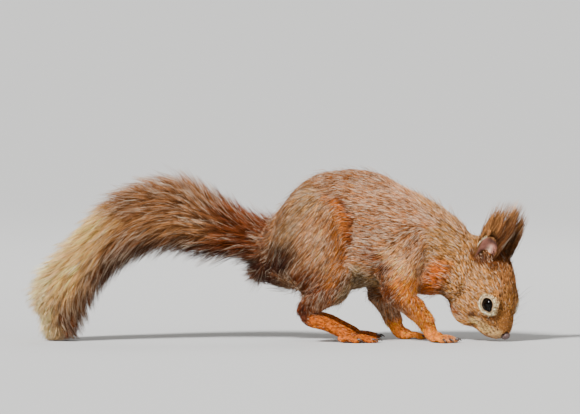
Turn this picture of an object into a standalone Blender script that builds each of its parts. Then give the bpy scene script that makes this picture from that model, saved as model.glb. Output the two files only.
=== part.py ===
"""Red squirrel foraging on all fours, nose at the ground: a still, life-size model.

Run with: blender --background --python part.py

The model is in metres, +Z up. The squirrel faces +X and its right side is -Y. The solids
reach to the tips of the coat. The whole animal is first modelled as one smooth body, which
thin cuts then part into head, neck, trunk, legs and five lengths of tail. Ears, eyes, nose,
hands and feet are modelled on their own and fitted to it. Lists of shape are in millimetres,
measured from a working origin on the floor under the hips, and the last step moves the
finished model so that its origin is at the bottom centre of its box.
"""

import math
from collections import namedtuple

import bmesh
import bpy
from mathutils import Matrix, Vector

MM = 0.001

# ---- Driving dimensions, in millimetres -----------------------------------------------
GAP = 0.3  # between neighbouring solids
VOXEL = 1.0  # grain of the smooth body
FINE_VOXEL = 0.42  # grain of hands and feet
SMOOTHING = 10  # passes that soften the joins of the body
FINE_SMOOTHING = 2
BODY_FACES = 2550
HAND_FACES = 310
FOOT_FACES = 360
EAR_FACES = 220
EAR_STRIPS = 12
RING_SIDES = 40
STEPS_BETWEEN_RIBS = 5

HEAD_PITCH = 64  # degrees that the nose points below level
HEAD_TURN = 36  # degrees that the head turns to its right
OCCIPUT = Vector((130.7, 3.0, 58.7))
HEAD_LENGTH = 61.0
MUZZLE_START = 46.5

EYE_RADIUS = 5.3
EYE_PLACE = (39.0, 2.9, 10.4)  # along the head, towards its top, and out from its middle
NOSE_PLACE = (60.5, -2.0)
NOSE_SIZE = (2.2, 3.1, 2.9)  # half length, half height, half width

EAR_PLACE = (9.6, 12.2, 12.4)
EAR_LENGTH = 35.5  # with the tuft
EAR_ROOT = -0.16  # the ear starts this share of its length inside the head

HIP_OUT = 15.0  # how far each thigh's middle is from the middle of the body
ANKLE_OUT = 19.0
ELBOW_OUT = 18.5
WRIST_OUT = 16.5
RIGHT_ELBOW, RIGHT_WRIST = 77.5, 98.3  # along the body; the left hand stands further back
LEFT_ELBOW, LEFT_WRIST = 67.5, 77.0
RIGHT_HEEL, LEFT_HEEL = 18.8, 21.0
RIGHT_HAND_TURN = -36  # degrees about the vertical
LEFT_HAND_TURN = 8
FOOT_TURN = 7

HEEL_HEIGHT = 19.5
WRIST_HEIGHT = 13.0
PAD_SINK = 0.45  # pads are pressed this deep, which leaves small flats on the floor

SIDES = (
    (-1, "right", RIGHT_ELBOW, RIGHT_WRIST, RIGHT_HEEL, RIGHT_HAND_TURN),
    (1, "left", LEFT_ELBOW, LEFT_WRIST, LEFT_HEEL, LEFT_HAND_TURN),
)

# A rib joins a point on the back to a point on the belly, both (x, z).
Rib = namedtuple("Rib", "top low half_width")

TRUNK_RIBS = (
    Rib((-7, 77), (-11, 42), 15),
    Rib((3, 89.5), (-2, 37), 21),
    Rib((13, 102), (10, 34), 25.5),
    Rib((28, 111.5), (28, 32), 27.5),
    Rib((48, 114), (47, 32.5), 27),
    Rib((68, 111), (62, 35.5), 26),
    Rib((84, 102.5), (75, 34), 25.5),
    Rib((98, 94.3), (87, 31.5), 24),
    Rib((112.5, 85.6), (100, 30), 21),
    Rib((124, 76.5), (109, 28.8), 19),
    Rib((132, 68), (114, 26.5), 17.5),
)

TAIL_RIBS = (
    Rib((4, 81.5), (-6, 44), 15),
    Rib((-17, 86.5), (-23, 52), 17.5),
    Rib((-41, 101), (-51, 52.5), 23),
    Rib((-64, 111.2), (-69, 57), 26),
    Rib((-92, 107.5), (-91, 53.5), 26),
    Rib((-116, 93.5), (-107, 44), 24.5),
    Rib((-138, 69), (-117.5, 34), 22),
    Rib((-156, 49), (-124.5, 23), 19.5),
    Rib((-163.5, 29), (-129, 11), 17),
    Rib((-157, 14), (-132.5, 2.5), 13),
)
TAIL_END_DOME = 9.5  # the last rib is closed by a dome of this length, pressed on the floor

# A head section is (along the head, middle, half depth, half width), from nape to nose.
HEAD_SECTIONS = (
    (-5, -3, 15, 12.5),
    (4, -1, 19, 15.5),
    (14, 0, 21, 16.8),
    (24, -0.6, 20.8, 17.0),
    (32, -2.6, 20.8, 15.8),
    (40, -4.6, 18.8, 13.8),
    (46, -4.9, 15.9, 12.0),
    (51, -5.1, 12.8, 10.5),
    (55.5, -4.5, 9.6, 8.7),
    (59, -4.0, 6.2, 6.2),
)

# An ear's half width, depth of its hollow and thickness, from root to tuft.
EAR_PROFILE = (
    (6.2, 4.2, 3.0),
    (8.8, 5.0, 2.8),
    (9.4, 4.4, 2.6),
    (8.7, 3.0, 2.5),
    (7.5, 1.5, 2.4),
    (6.0, 0.6, 2.2),
    (2.4, 0.0, 1.4),
)

# Eggs that model the face: place on the head, then half sizes along, out and up.
HeadEgg = namedtuple("HeadEgg", "along height out half_along half_out half_up")
BROW = HeadEgg(32.5, 8.4, 9.2, 9, 5.6, 5.5)
CHEEK = HeadEgg(31.5, -14.3, 7.6, 15, 10.4, 15)
MUZZLE_PAD = HeadEgg(52.6, -6.9, 4.4, 6.4, 5.2, 5.6)
CHIN = HeadEgg(50, -13.6, 0, 6.4, 5.0, 4.2)

# Eggs that model the tops of the legs: middle from the heel's or elbow's place along the
# body, height and distance out, half sizes, and tilt in degrees.
LegEgg = namedtuple("LegEgg", "ahead out height half_sizes tilt")
THIGH = LegEgg(4.5, HIP_OUT, 64.5, (26, 16, 35.5), -10)
SHOULDER = LegEgg(9.5, 12.5, 57, (17, 13.5, 25), 24)
ELBOW = LegEgg(2.5, ELBOW_OUT, 40, (13, 10, 13), 20)

# The shin, from knee to heel: ahead of the heel, out, height, radius.
SHIN = (
    (21, 19.0, 43, 12.0),
    (19, 19.5, 36, 10.5),
    (8, ANKLE_OUT, 28.5, 8.8),
    (0, ANKLE_OUT, HEEL_HEIGHT + 1.5, 6.2),
    (-2, ANKLE_OUT, HEEL_HEIGHT - 4, 6.0),
)
ELBOW_HEIGHT = 36

# Digits across a hand or foot: place across, start behind the middle knuckle, length.
Digit = namedtuple("Digit", "across start reach")
FINGERS = (Digit(-1.5, 0, 8.8), Digit(-0.5, 0, 10.6), Digit(0.5, 0, 10.8), Digit(1.5, 0, 9.2))
TOES = (
    Digit(-2, -5.0, 9.5),
    Digit(-1, 0, 13.5),
    Digit(0, 1.0, 14.8),
    Digit(1, 0, 13.5),
    Digit(2, -4.0, 10.0),
)
FINGER_SPACING, FINGER_FAN = 2.9, 13  # millimetres across, degrees of turn for each place
TOE_SPACING, TOE_FAN = 2.7, 9
FINGER_CLAW, TOE_CLAW = 4.2, 4.8  # lengths
FINGER_RADIUS, TOE_RADIUS = 1.6, 1.65  # at the tip

# Planes that part the body, taken in this order: name, a point, outward direction, finish.
SPINE_CUTS = (
    ("tail_tip", (-132, 0, 36), (-0.62, 0, -0.78), "tail_tip_fur"),
    ("tail_end", (-113, 0, 66), (-0.80, 0, -0.60), "tail_tip_fur"),
    ("tail_middle", (-81, 0, 82), (-1, 0, 0.02), "tail_fur"),
    ("tail_fore", (-44, 0, 78), (-0.95, 0, 0.32), "tail_fur"),
    ("tail_base", (-9, 0, 68), (-0.97, 0, 0.26), "tail_fur"),
    ("head", (122, 0, 57), (0.905, 0, -0.425), "back_fur"),
    ("neck", (106, 0, 60), (0.87, 0, -0.49), "back_fur"),
    ("chest", (74, 0, 70), (0.97, 0, -0.24), "back_fur"),
    ("belly", (44, 0, 70), (1, 0, 0), "back_fur"),
)

# Drums that part the tops of the legs: middle ahead of heel or elbow and its height, half
# sizes, tilt in degrees, and how far out the flat inner face lies.
Drum = namedtuple("Drum", "ahead height half_sizes tilt inner")
THIGH_DRUM = Drum(4, 62.5, (27, 37.5), -10, 15.5)
UPPER_ARM_DRUM = Drum(8, 50, (15.5, 27), 22, 14.5)
BESIDE_MIDDLE = 2  # boxes round the lower legs start this far from the middle plane
SHANK_TOP, SHANK_BACK, SHANK_FRONT = 30.5, -12, 36  # height, place along, ahead of the heel
FOREARM_TOP, FOREARM_BACK, FOREARM_FRONT = 28.8, 13, 8  # height, behind elbow, ahead of wrist

# ---- Finishes ----------------------------------------------------------------------------
Finish = namedtuple("Finish", "colour roughness")
FINISHES = {
    "back_fur": Finish((0.30, 0.15, 0.075), 0.85),
    "orange_fur": Finish((0.46, 0.17, 0.05), 0.85),
    "tail_fur": Finish((0.27, 0.12, 0.06), 0.9),
    "tail_tip_fur": Finish((0.55, 0.38, 0.23), 0.9),
    "ear_fur": Finish((0.13, 0.05, 0.03), 0.85),
    "eye": Finish((0.006, 0.004, 0.003), 0.05),
    "nose_skin": Finish((0.12, 0.07, 0.06), 0.5),
}


def clear_scene():
    """Removes every object of the opened scene."""
    for obj in list(bpy.data.objects):
        bpy.data.objects.remove(obj, do_unlink=True)


def make_finish(name):
    """Returns the named finish as a Principled material, made once."""
    material = bpy.data.materials.get(name) or bpy.data.materials.new(name)
    material.use_nodes = True
    shader = material.node_tree.nodes["Principled BSDF"]
    shader.inputs["Base Color"].default_value = (*FINISHES[name].colour, 1)
    shader.inputs["Roughness"].default_value = FINISHES[name].roughness
    shader.inputs["Metallic"].default_value = 0
    return material


def add_object(name, bm):
    """Turns a bmesh of closed shells into an object of the scene, with its faces outward."""
    bm.normal_update()
    bmesh.ops.recalc_face_normals(bm, faces=bm.faces)
    if bm.calc_volume(signed=True) < 0:
        bmesh.ops.reverse_faces(bm, faces=bm.faces)
    mesh = bpy.data.meshes.new(name)
    bm.to_mesh(mesh)
    bm.free()
    obj = bpy.data.objects.new(name, mesh)
    bpy.context.scene.collection.objects.link(obj)
    return obj


def remove(*objects):
    """Removes helper objects from the scene."""
    for obj in objects:
        bpy.data.objects.remove(obj, do_unlink=True)


def copy_of(obj, name):
    """Returns a copy of an object with its own mesh."""
    twin = obj.copy()
    twin.data = obj.data.copy()
    twin.name = name
    bpy.context.scene.collection.objects.link(twin)
    return twin


def settle(obj):
    """Makes an object's modifiers part of its mesh."""
    evaluated = obj.evaluated_get(bpy.context.evaluated_depsgraph_get())
    mesh = bpy.data.meshes.new_from_object(evaluated)
    obj.modifiers.clear()
    obj.data = mesh
    return obj


def smooth_between(rows, position):
    """Catmull-Rom value at a position along rows of numbers, row 0 being position 0."""
    last = len(rows) - 1
    start = min(int(position), last - 1)
    t = position - start
    before, a = rows[max(start - 1, 0)], rows[start]
    b, after = rows[start + 1], rows[min(start + 2, last)]
    weights = (-t + 2 * t**2 - t**3, 2 - 5 * t**2 + 3 * t**3, t + 4 * t**2 - 3 * t**3, t**3 - t**2)
    columns = zip(before, a, b, after)
    return [0.5 * sum(w * value for w, value in zip(weights, column)) for column in columns]


def finer(rows, steps=STEPS_BETWEEN_RIBS):
    """Smoothly refined copy of a list of rows."""
    count = (len(rows) - 1) * steps
    return [smooth_between(rows, i / steps) for i in range(count + 1)]


def loft(rings, dome_start, dome_end, pear=0.0, squareness=2.2):
    """A closed skin over rings, each (middle, half height vector, half width vector).

    A positive pear makes the rings wider below than above. The domes round both ends off
    by the given lengths.
    """
    rings = round_end(rings[::-1], dome_start)[::-1]
    rings = round_end(rings, dome_end)
    bm = bmesh.new()
    loops = []
    for middle, up, side in rings:
        loop = []
        for i in range(RING_SIDES):
            angle = 2 * math.pi * i / RING_SIDES
            c, s = math.cos(angle), math.sin(angle)
            across = math.copysign(abs(c) ** (2 / squareness), c) * (1 - pear * s)
            height = math.copysign(abs(s) ** (2 / squareness), s)
            loop.append(bm.verts.new((middle + side * across + up * height) * MM))
        loops.append(loop)
    bridge(bm, loops)
    return bm


def bridge(bm, loops):
    """Skins a row of equal vertex loops and closes both ends."""
    count = len(loops[0])
    for ring, following in zip(loops, loops[1:]):
        for i in range(count):
            j = (i + 1) % count
            bm.faces.new((ring[i], ring[j], following[j], following[i]))
    bm.faces.new(loops[0][::-1])
    bm.faces.new(loops[-1])


def round_end(rings, length, steps=5):
    """Adds shrinking rings past the last one, so that the end is a dome."""
    middle, up, side = rings[-1]
    ahead = (middle - rings[-2][0]).normalized()
    dome = []
    for i in range(1, steps + 1):
        angle = math.radians(88) * i / steps
        shrink = math.cos(angle)
        dome.append((middle + ahead * length * math.sin(angle), up * shrink, side * shrink))
    return rings + dome


def ribbed_loft(ribs, dome_start, dome_end, pear=0.0):
    """Loft over ribs that stand in the middle plane of the body."""
    rings = []
    rows = [(*rib.top, *rib.low, rib.half_width) for rib in ribs]
    for top_x, top_z, low_x, low_z, width in finer(rows):
        top, low = Vector((top_x, 0, top_z)), Vector((low_x, 0, low_z))
        rings.append(((top + low) / 2, (top - low) / 2, Vector((0, width, 0))))
    return loft(rings, dome_start, dome_end, pear)


def limb(points, flat=1.0):
    """A round tube through points, each (x, y, z, radius), with round ends.

    A flat below 1 makes it lower than wide.
    """
    rows = finer(points, 4)
    rings = []
    for i, row in enumerate(rows):
        here = Vector(row[:3])
        ahead = Vector(rows[min(i + 1, len(rows) - 1)][:3]) - Vector(rows[max(i - 1, 0)][:3])
        side = ahead.cross(Vector((0, 0, 1)))
        if side.length < 1e-6:
            side = Vector((0, 1, 0))
        side = side.normalized() * row[3]
        up = side.cross(ahead).normalized() * row[3] * flat
        rings.append((here, up, side))
    return loft(rings, rows[0][3], rows[-1][3], squareness=2.0)


def egg(middle, axis_x, axis_y, axis_z):
    """An ellipsoid from its middle and its three half axes, as vectors."""
    bm = bmesh.new()
    bmesh.ops.create_icosphere(bm, subdivisions=4, radius=1)
    for vert in bm.verts:
        p = vert.co
        vert.co = (Vector(middle) + axis_x * p.x + axis_y * p.y + axis_z * p.z) * MM
    return bm


def straight_egg(middle, half_sizes, tilt=0):
    """An ellipsoid whose long axes turn about Y by tilt degrees."""
    turn = Matrix.Rotation(math.radians(tilt), 3, "Y")
    axes = [turn @ (Vector(axis) * size) for axis, size in zip(Matrix.Identity(3), half_sizes)]
    return egg(middle, *axes)


# ---- Places on the turned head -------------------------------------------------------------
HEAD_ROTATION = Matrix.Rotation(math.radians(-HEAD_TURN), 3, "Z") @ Matrix.Rotation(
    math.radians(HEAD_PITCH), 3, "Y"
)
NOSEWARD = HEAD_ROTATION @ Vector((1, 0, 0))
CROWNWARD = HEAD_ROTATION @ Vector((0, 0, 1))
HEAD_LEFT = HEAD_ROTATION @ Vector((0, 1, 0))


def on_head(along, height, leftward):
    """Point of the head frame: along towards the nose, up to the crown, and to the left."""
    return OCCIPUT + NOSEWARD * along + CROWNWARD * height + HEAD_LEFT * leftward


def head_parts():
    """The head: a loft from nape to nose, with brows, cheeks, muzzle pads and chin."""
    rings = []
    for along, middle, depth, width in finer(HEAD_SECTIONS):
        rings.append((on_head(along, middle, 0), CROWNWARD * depth, HEAD_LEFT * width))
    parts = [loft(rings, 6, HEAD_LENGTH - HEAD_SECTIONS[-1][0], pear=0.06)]
    for side in (-1, 1):
        parts += [head_egg(form, side) for form in (BROW, CHEEK, MUZZLE_PAD)]
    parts.append(head_egg(CHIN, 1))
    return parts


def head_egg(form, side):
    """An egg on the head, on its left for side 1 and on its right for side -1."""
    middle = on_head(form.along, form.height, side * form.out)
    return egg(middle, NOSEWARD * form.half_along, HEAD_LEFT * form.half_out, CROWNWARD * form.half_up)


# ---- Legs ------------------------------------------------------------------------------------
def leg_egg(form, side, joint_x):
    """An egg of a leg, whose heel or elbow is at this place along the body."""
    return straight_egg((joint_x + form.ahead, side * form.out, form.height), form.half_sizes, form.tilt)


def thigh_and_shank(side, heel_x):
    """The hind leg from hip to heel; side is -1 for the right leg and 1 for the left."""
    shin = [(heel_x + ahead, side * out, height, radius) for ahead, out, height, radius in SHIN]
    return [leg_egg(THIGH, side, heel_x), limb(shin)]


def arm(side, elbow_x, wrist_x):
    """The foreleg from shoulder to wrist."""
    middle = (0.47 * elbow_x + 0.53 * wrist_x, side * 17.5, 24.5, 8.6)
    past_wrist = Vector((wrist_x, side * WRIST_OUT, WRIST_HEIGHT)) + slope(elbow_x, wrist_x) * 4
    lower = limb(
        (
            (elbow_x + 4, side * 16.5, ELBOW_HEIGHT + 11, 13.0),
            (elbow_x, side * ELBOW_OUT, ELBOW_HEIGHT, 11.4),
            middle,
            (wrist_x, side * WRIST_OUT, WRIST_HEIGHT, 5.9),
            (*past_wrist, 5.6),
        )
    )
    return [leg_egg(SHOULDER, side, elbow_x), leg_egg(ELBOW, side, elbow_x), lower]


def slope(elbow_x, wrist_x):
    """Direction of a forearm, from elbow to wrist."""
    return Vector((wrist_x - elbow_x, 0, WRIST_HEIGHT - ELBOW_HEIGHT)).normalized()


def digit(root, tip, root_radius, tip_radius):
    """A finger or toe that arches a little, from its knuckle to its tip."""
    middle = (root + tip) / 2 + Vector((0, 0, 0.9))
    return limb(
        (
            (*root, root_radius),
            (*middle, root_radius * 0.95),
            (*tip, tip_radius),
        )
    )


def claw(tip, ahead, length):
    """A small hooked claw that starts inside the end of a digit."""
    drop = Vector((0, 0, 1))
    root = tip - ahead * 1.0 + drop * 0.5
    middle = tip + ahead * length * 0.55 + drop * 0.9
    end = tip + ahead * length - drop * 0.6
    return limb(((*root, 1.0), (*middle, 0.85), (*end, 0.4)))


def turned(x, y, degrees):
    """The floor vector (x, y) turned about the vertical."""
    return Matrix.Rotation(math.radians(degrees), 3, "Z") @ Vector((x, y, 0))


def hand_parts(side, elbow_x, wrist_x, turn):
    """Palm, four fingers, thumb stub and claws of one hand, flat on the floor."""
    wrist = Vector((wrist_x, side * WRIST_OUT, WRIST_HEIGHT))
    inside = wrist - slope(elbow_x, wrist_x) * 8.6
    heel_of_palm = wrist + turned(4.6, 0, turn) - Vector((0, 0, 8.0))
    knuckles = wrist + turned(9.5, 0, turn) - Vector((0, 0, WRIST_HEIGHT - 3.3))
    parts = [
        limb(
            (
                (*inside, 6.6),
                (*wrist, 5.4),
                (*heel_of_palm, 4.6),
                (*knuckles, 3.6),
            )
        )
    ]
    for finger in FINGERS:
        root = knuckles + turned(finger.start, finger.across * FINGER_SPACING, turn) - Vector((0, 0, 0.7))
        ahead = turned(1, 0, turn + finger.across * FINGER_FAN)
        tip = root + ahead * finger.reach
        tip.z = FINGER_RADIUS - PAD_SINK
        parts.append(digit(root, tip, 2.0, FINGER_RADIUS))
        parts.append(claw(tip, ahead, FINGER_CLAW))
    thumb = knuckles + turned(-3.5, -side * 4.2, turn) - Vector((0, 0, 1.2))
    parts.append(limb(((*(thumb + Vector((0, 0, 2))), 1.8), (*thumb, 1.6))))
    return parts


def foot_parts(side, heel_x):
    """Heel, sole, five toes and claws of one hind foot, its heel off the floor."""
    turn = side * FOOT_TURN
    heel = Vector((heel_x, side * ANKLE_OUT, HEEL_HEIGHT))
    ankle = heel + Vector((7.0, 0, 6.0))
    arch = heel + turned(15.5, 0, turn) - Vector((0, 0, 8.2))
    knuckles = heel + turned(30.5, 0, turn) - Vector((0, 0, HEEL_HEIGHT - 4.0))
    parts = [
        limb(((*ankle, 6.2), (*heel, 5.2), (*arch, 4.6), (*knuckles, 4.0))),
        limb(((*(arch + turned(0, 1.6, turn)), 3.6), (*(knuckles + turned(0, 3.2, turn)), 3.2))),
        limb(((*(arch - turned(0, 1.6, turn)), 3.6), (*(knuckles - turned(0, 3.2, turn)), 3.2))),
    ]
    for toe in TOES:
        root = knuckles + turned(toe.start, toe.across * TOE_SPACING, turn) - Vector((0, 0, 1.2))
        ahead = turned(1, 0, turn + toe.across * TOE_FAN)
        tip = root + ahead * toe.reach
        tip.z = TOE_RADIUS - PAD_SINK
        parts.append(digit(root, tip, 2.2, TOE_RADIUS))
        parts.append(claw(tip, ahead, TOE_CLAW))
    return parts


# ---- Tools that join and cut --------------------------------------------------------------
def fuse(name, parts, voxel, smoothing, faces):
    """Melts overlapping closed shapes into one smooth body with about this many triangles."""
    whole = bmesh.new()
    for part in parts:
        mesh = bpy.data.meshes.new(name)
        part.to_mesh(mesh)
        part.free()
        whole.from_mesh(mesh)
        bpy.data.meshes.remove(mesh)
    body = add_object(name, whole)
    remesh = body.modifiers.new("Join", "REMESH")
    remesh.mode = "VOXEL"
    remesh.voxel_size = voxel * MM
    soften = body.modifiers.new("Soften", "SMOOTH")
    soften.iterations = smoothing
    settle(body)
    thin_out(body, faces)
    keep_largest(body)
    return body


def thin_out(body, faces):
    """Reduces a body to about this many triangles."""
    triangles = body.modifiers.new("Triangles", "TRIANGULATE")
    triangles.min_vertices = 4
    fewer = body.modifiers.new("Fewer faces", "DECIMATE")
    fewer.ratio = min(1.0, faces / (2 * len(body.data.polygons)))
    settle(body)


def cut(body, cutter, operation):
    """Cuts a body with a closed cutter, by the Boolean operation named."""
    boolean = body.modifiers.new("Cut", "BOOLEAN")
    boolean.operation = operation
    boolean.object = cutter
    settle(body)


def take(name, body, region, finish):
    """Parts a piece from the body, leaving the gap on the body's side.

    The region is a function of a margin: it returns a closed cutter grown by the margin.
    """
    exact, grown = region(0), region(GAP)
    piece = copy_of(body, name)
    cut(piece, exact, "INTERSECT")
    cut(body, grown, "DIFFERENCE")
    remove(exact, grown)
    keep_largest(piece)
    keep_largest(body)
    piece.data.materials.clear()
    piece.data.materials.append(make_finish(finish))
    return piece


def beyond(point, outward):
    """Region past a plane, as a big block."""

    def region(margin):
        bm = bmesh.new()
        bmesh.ops.create_cube(bm, size=600)
        turn = Vector((0, 0, 1)).rotation_difference(Vector(outward)).to_matrix()
        for vert in bm.verts:
            vert.co = (Vector(point) + turn @ (vert.co + Vector((0, 0, 300 - margin)))) * MM
        return add_object("cutter", bm)

    return region


def inside_box(low, high):
    """Region of an upright box."""

    def region(margin):
        bm = bmesh.new()
        bmesh.ops.create_cube(bm, size=1)
        middle = (Vector(low) + Vector(high)) / 2
        size = Vector(high) - Vector(low) + Vector((2 * margin,) * 3)
        for vert in bm.verts:
            vert.co = (middle + Vector(a * b for a, b in zip(vert.co, size))) * MM
        return add_object("cutter", bm)

    return region


def beside(side, drum, joint_x):
    """Region of an elliptic drum that reaches out sideways from its inner plane."""

    def region(margin):
        bm = bmesh.new()
        bmesh.ops.create_cone(bm, cap_ends=True, segments=28, radius1=1, radius2=1, depth=2)
        turn = Matrix.Rotation(math.radians(drum.tilt), 3, "Y")
        half_long, half_high = (size + margin for size in drum.half_sizes)
        middle = Vector((joint_x + drum.ahead, 0, drum.height))
        length = 60
        for vert in bm.verts:
            flat = turn @ Vector((vert.co.x * half_long, 0, vert.co.y * half_high))
            out = drum.inner - margin + (vert.co.z + 1) / 2 * length
            vert.co = (middle + flat + Vector((0, side * out, 0))) * MM
        return add_object("cutter", bm)

    return region


def grown_copy(obj, margin):
    """A copy of a solid, swollen by a margin, to cut its neighbour with."""
    swollen = copy_of(obj, "cutter")
    displace = swollen.modifiers.new("Swell", "DISPLACE")
    displace.mid_level = 0
    displace.strength = margin * MM
    return settle(swollen)


def flatten_on_floor(obj):
    """Cuts off what reaches under the floor."""
    floor = beyond((0, 0, 0), (0, 0, 1))(0)
    cut(obj, floor, "INTERSECT")
    remove(floor)


# ---- Separate pieces ------------------------------------------------------------------------
def make_eye(side, name):
    """One eyeball."""
    along, height, out = EYE_PLACE
    bm = bmesh.new()
    bmesh.ops.create_uvsphere(bm, u_segments=12, v_segments=8, radius=EYE_RADIUS * MM)
    eye = add_object(name, bm)
    for vert in eye.data.vertices:
        vert.co = HEAD_ROTATION @ vert.co + on_head(along, height, side * out) * MM
    eye.data.materials.append(make_finish("eye"))
    return eye


def make_nose(muzzle):
    """The bare nose pad between the muzzle pads, cut clear of the muzzle."""
    along, height = NOSE_PLACE
    length, depth, width = NOSE_SIZE
    bm = bmesh.new()
    bmesh.ops.create_icosphere(bm, subdivisions=2, radius=1)
    for vert in bm.verts:
        p = vert.co
        offset = NOSEWARD * p.x * length + HEAD_LEFT * p.y * width + CROWNWARD * p.z * depth
        vert.co = (on_head(along, height, 0) + offset) * MM
    nose = add_object("nose", bm)
    socket = grown_copy(nose, GAP)
    cut(muzzle, socket, "DIFFERENCE")
    remove(socket)
    nose.data.materials.append(make_finish("nose_skin"))
    return nose


def make_ear(side, name, head):
    """One ear: a cupped leaf with its tuft, hollow side outward and forward."""
    root = on_head(EAR_PLACE[0], EAR_PLACE[1], side * EAR_PLACE[2])
    tipward = (NOSEWARD * -0.57 + CROWNWARD * 0.82).normalized()
    opening = NOSEWARD * 0.26 + CROWNWARD * 0.42 + HEAD_LEFT * side * 0.87
    opening = (opening - tipward * opening.dot(tipward)).normalized()
    across = tipward.cross(opening)
    bm = bmesh.new()
    loops = []
    rows = finer(EAR_PROFILE, 4)
    for i, (width, cup, thickness) in enumerate(rows):
        along = EAR_LENGTH * (EAR_ROOT + (1 - EAR_ROOT) * i / (len(rows) - 1))
        front, rear = [], []
        for k in range(EAR_STRIPS + 1):
            u = -1 + 2 * k / EAR_STRIPS
            roundness = math.sqrt(1 - u * u)
            half = thickness * (0.15 + 0.5 * roundness)
            leaf = root + tipward * along + across * width * u - opening * cup * (1 - u * u)
            front.append(bm.verts.new((leaf + opening * half) * MM))
            rear.append(bm.verts.new((leaf - opening * half) * MM))
        loops.append(front + rear[::-1])
    bridge(bm, loops)
    ear = add_object(name, bm)
    thin_out(ear, EAR_FACES)
    clear = grown_copy(head, GAP)
    cut(ear, clear, "DIFFERENCE")
    remove(clear)
    keep_largest(ear)
    ear.data.materials.append(make_finish("ear_fur"))
    return ear


def keep_largest(obj):
    """Keeps the largest of the separate shells of a mesh."""
    bm = bmesh.new()
    bm.from_mesh(obj.data)
    left = set(bm.verts)
    shells = []
    while left:
        shell, front = set(), [next(iter(left))]
        while front:
            vert = front.pop()
            if vert in shell:
                continue
            shell.add(vert)
            front.extend(edge.other_vert(vert) for edge in vert.link_edges)
        shells.append(shell)
        left -= shell
    shells.sort(key=len)
    for shell in shells[:-1]:
        bmesh.ops.delete(bm, geom=list(shell), context="VERTS")
    bm.to_mesh(obj.data)
    bm.free()


# ---- The squirrel ---------------------------------------------------------------------------
def make_body():
    """The whole animal but for ears, eyes, nose, hands and feet, as one smooth body."""
    parts = [ribbed_loft(TRUNK_RIBS, 10, 8, pear=0.07)]
    parts.append(ribbed_loft(TAIL_RIBS, 4, TAIL_END_DOME))
    parts += head_parts()
    for side, _, elbow_x, wrist_x, heel_x, _ in SIDES:
        parts += thigh_and_shank(side, heel_x)
        parts += arm(side, elbow_x, wrist_x)
    return fuse("body", parts, VOXEL, SMOOTHING, BODY_FACES)


def make_squirrel():
    """Models the squirrel and returns its named pieces."""
    body = make_body()
    flatten_on_floor(body)
    pieces = []
    for side, word, elbow_x, wrist_x, heel_x, hand_turn in SIDES:
        fingers = hand_parts(side, elbow_x, wrist_x, hand_turn)
        hand = fuse("hand_" + word, fingers, FINE_VOXEL, FINE_SMOOTHING, HAND_FACES)
        wrist = Vector((wrist_x, side * WRIST_OUT, WRIST_HEIGHT))
        part_at_joint(body, hand, wrist, slope(elbow_x, wrist_x))
        foot = fuse("foot_" + word, foot_parts(side, heel_x), FINE_VOXEL, FINE_SMOOTHING, FOOT_FACES)
        ankle = Vector((heel_x, side * ANKLE_OUT, HEEL_HEIGHT + 3.2))
        part_at_joint(body, foot, ankle, Vector((-0.35, 0, -0.94)))
        pieces += [hand, foot]
        near, far = sorted((side * BESIDE_MIDDLE, side * 60))
        shank = inside_box((SHANK_BACK, near, -5), (heel_x + SHANK_FRONT, far, SHANK_TOP))
        pieces.append(take("shank_" + word, body, shank, "orange_fur"))
        pieces.append(take("thigh_" + word, body, beside(side, THIGH_DRUM, heel_x), "back_fur"))
        forearm = inside_box(
            (elbow_x - FOREARM_BACK, near, -5),
            (wrist_x + FOREARM_FRONT, far, FOREARM_TOP),
        )
        pieces.append(take("forearm_" + word, body, forearm, "orange_fur"))
        upper_arm = beside(side, UPPER_ARM_DRUM, elbow_x)
        pieces.append(take("upper_arm_" + word, body, upper_arm, "orange_fur"))
    for name, point, outward, finish in SPINE_CUTS:
        pieces.append(take(name, body, beyond(point, outward), finish))
    body.name = "rump"
    body.data.materials.clear()
    body.data.materials.append(make_finish("back_fur"))
    pieces.append(body)
    head = next(piece for piece in pieces if piece.name == "head")
    muzzle = take("muzzle", head, beyond(on_head(MUZZLE_START, 0, 0), NOSEWARD), "back_fur")
    pieces += [muzzle, make_nose(muzzle)]
    for side, word in ((-1, "right"), (1, "left")):
        eye = make_eye(side, "eye_" + word)
        socket = grown_copy(eye, GAP)
        cut(head, socket, "DIFFERENCE")
        remove(socket)
        pieces += [eye, make_ear(side, "ear_" + word, head)]
    return pieces


def part_at_joint(body, end, joint, outward):
    """Parts a hand or foot from the limb at the joint's plane, and flattens it on the floor."""
    past_joint = beyond(joint + outward * GAP, outward)(0)
    cut(end, past_joint, "INTERSECT")
    stump = small_block(joint, outward)
    cut(body, stump, "DIFFERENCE")
    remove(past_joint, stump)
    flatten_on_floor(end)
    keep_largest(end)
    end.data.materials.append(make_finish("orange_fur"))


def small_block(joint, outward):
    """A block past a joint's plane, no wider than one limb."""
    size = 30
    bm = bmesh.new()
    bmesh.ops.create_cube(bm, size=size)
    turn = Vector((0, 0, 1)).rotation_difference(outward).to_matrix()
    for vert in bm.verts:
        vert.co = (joint + turn @ (vert.co + Vector((0, 0, size / 2)))) * MM
    return add_object("cutter", bm)


def move_to_origin(pieces):
    """Moves the whole model so that its origin is at the bottom centre of its box."""
    points = [vert.co for piece in pieces for vert in piece.data.vertices]
    low = Vector(min(p[i] for p in points) for i in range(3))
    high = Vector(max(p[i] for p in points) for i in range(3))
    shift = Vector((-(low.x + high.x) / 2, -(low.y + high.y) / 2, -low.z))
    for piece in pieces:
        piece.data.transform(Matrix.Translation(shift))
        piece.data.shade_smooth()
        piece.data.set_sharp_from_angle(angle=math.radians(40))


def main():
    """Builds the squirrel in an empty scene."""
    clear_scene()
    move_to_origin(make_squirrel())


main()
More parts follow.
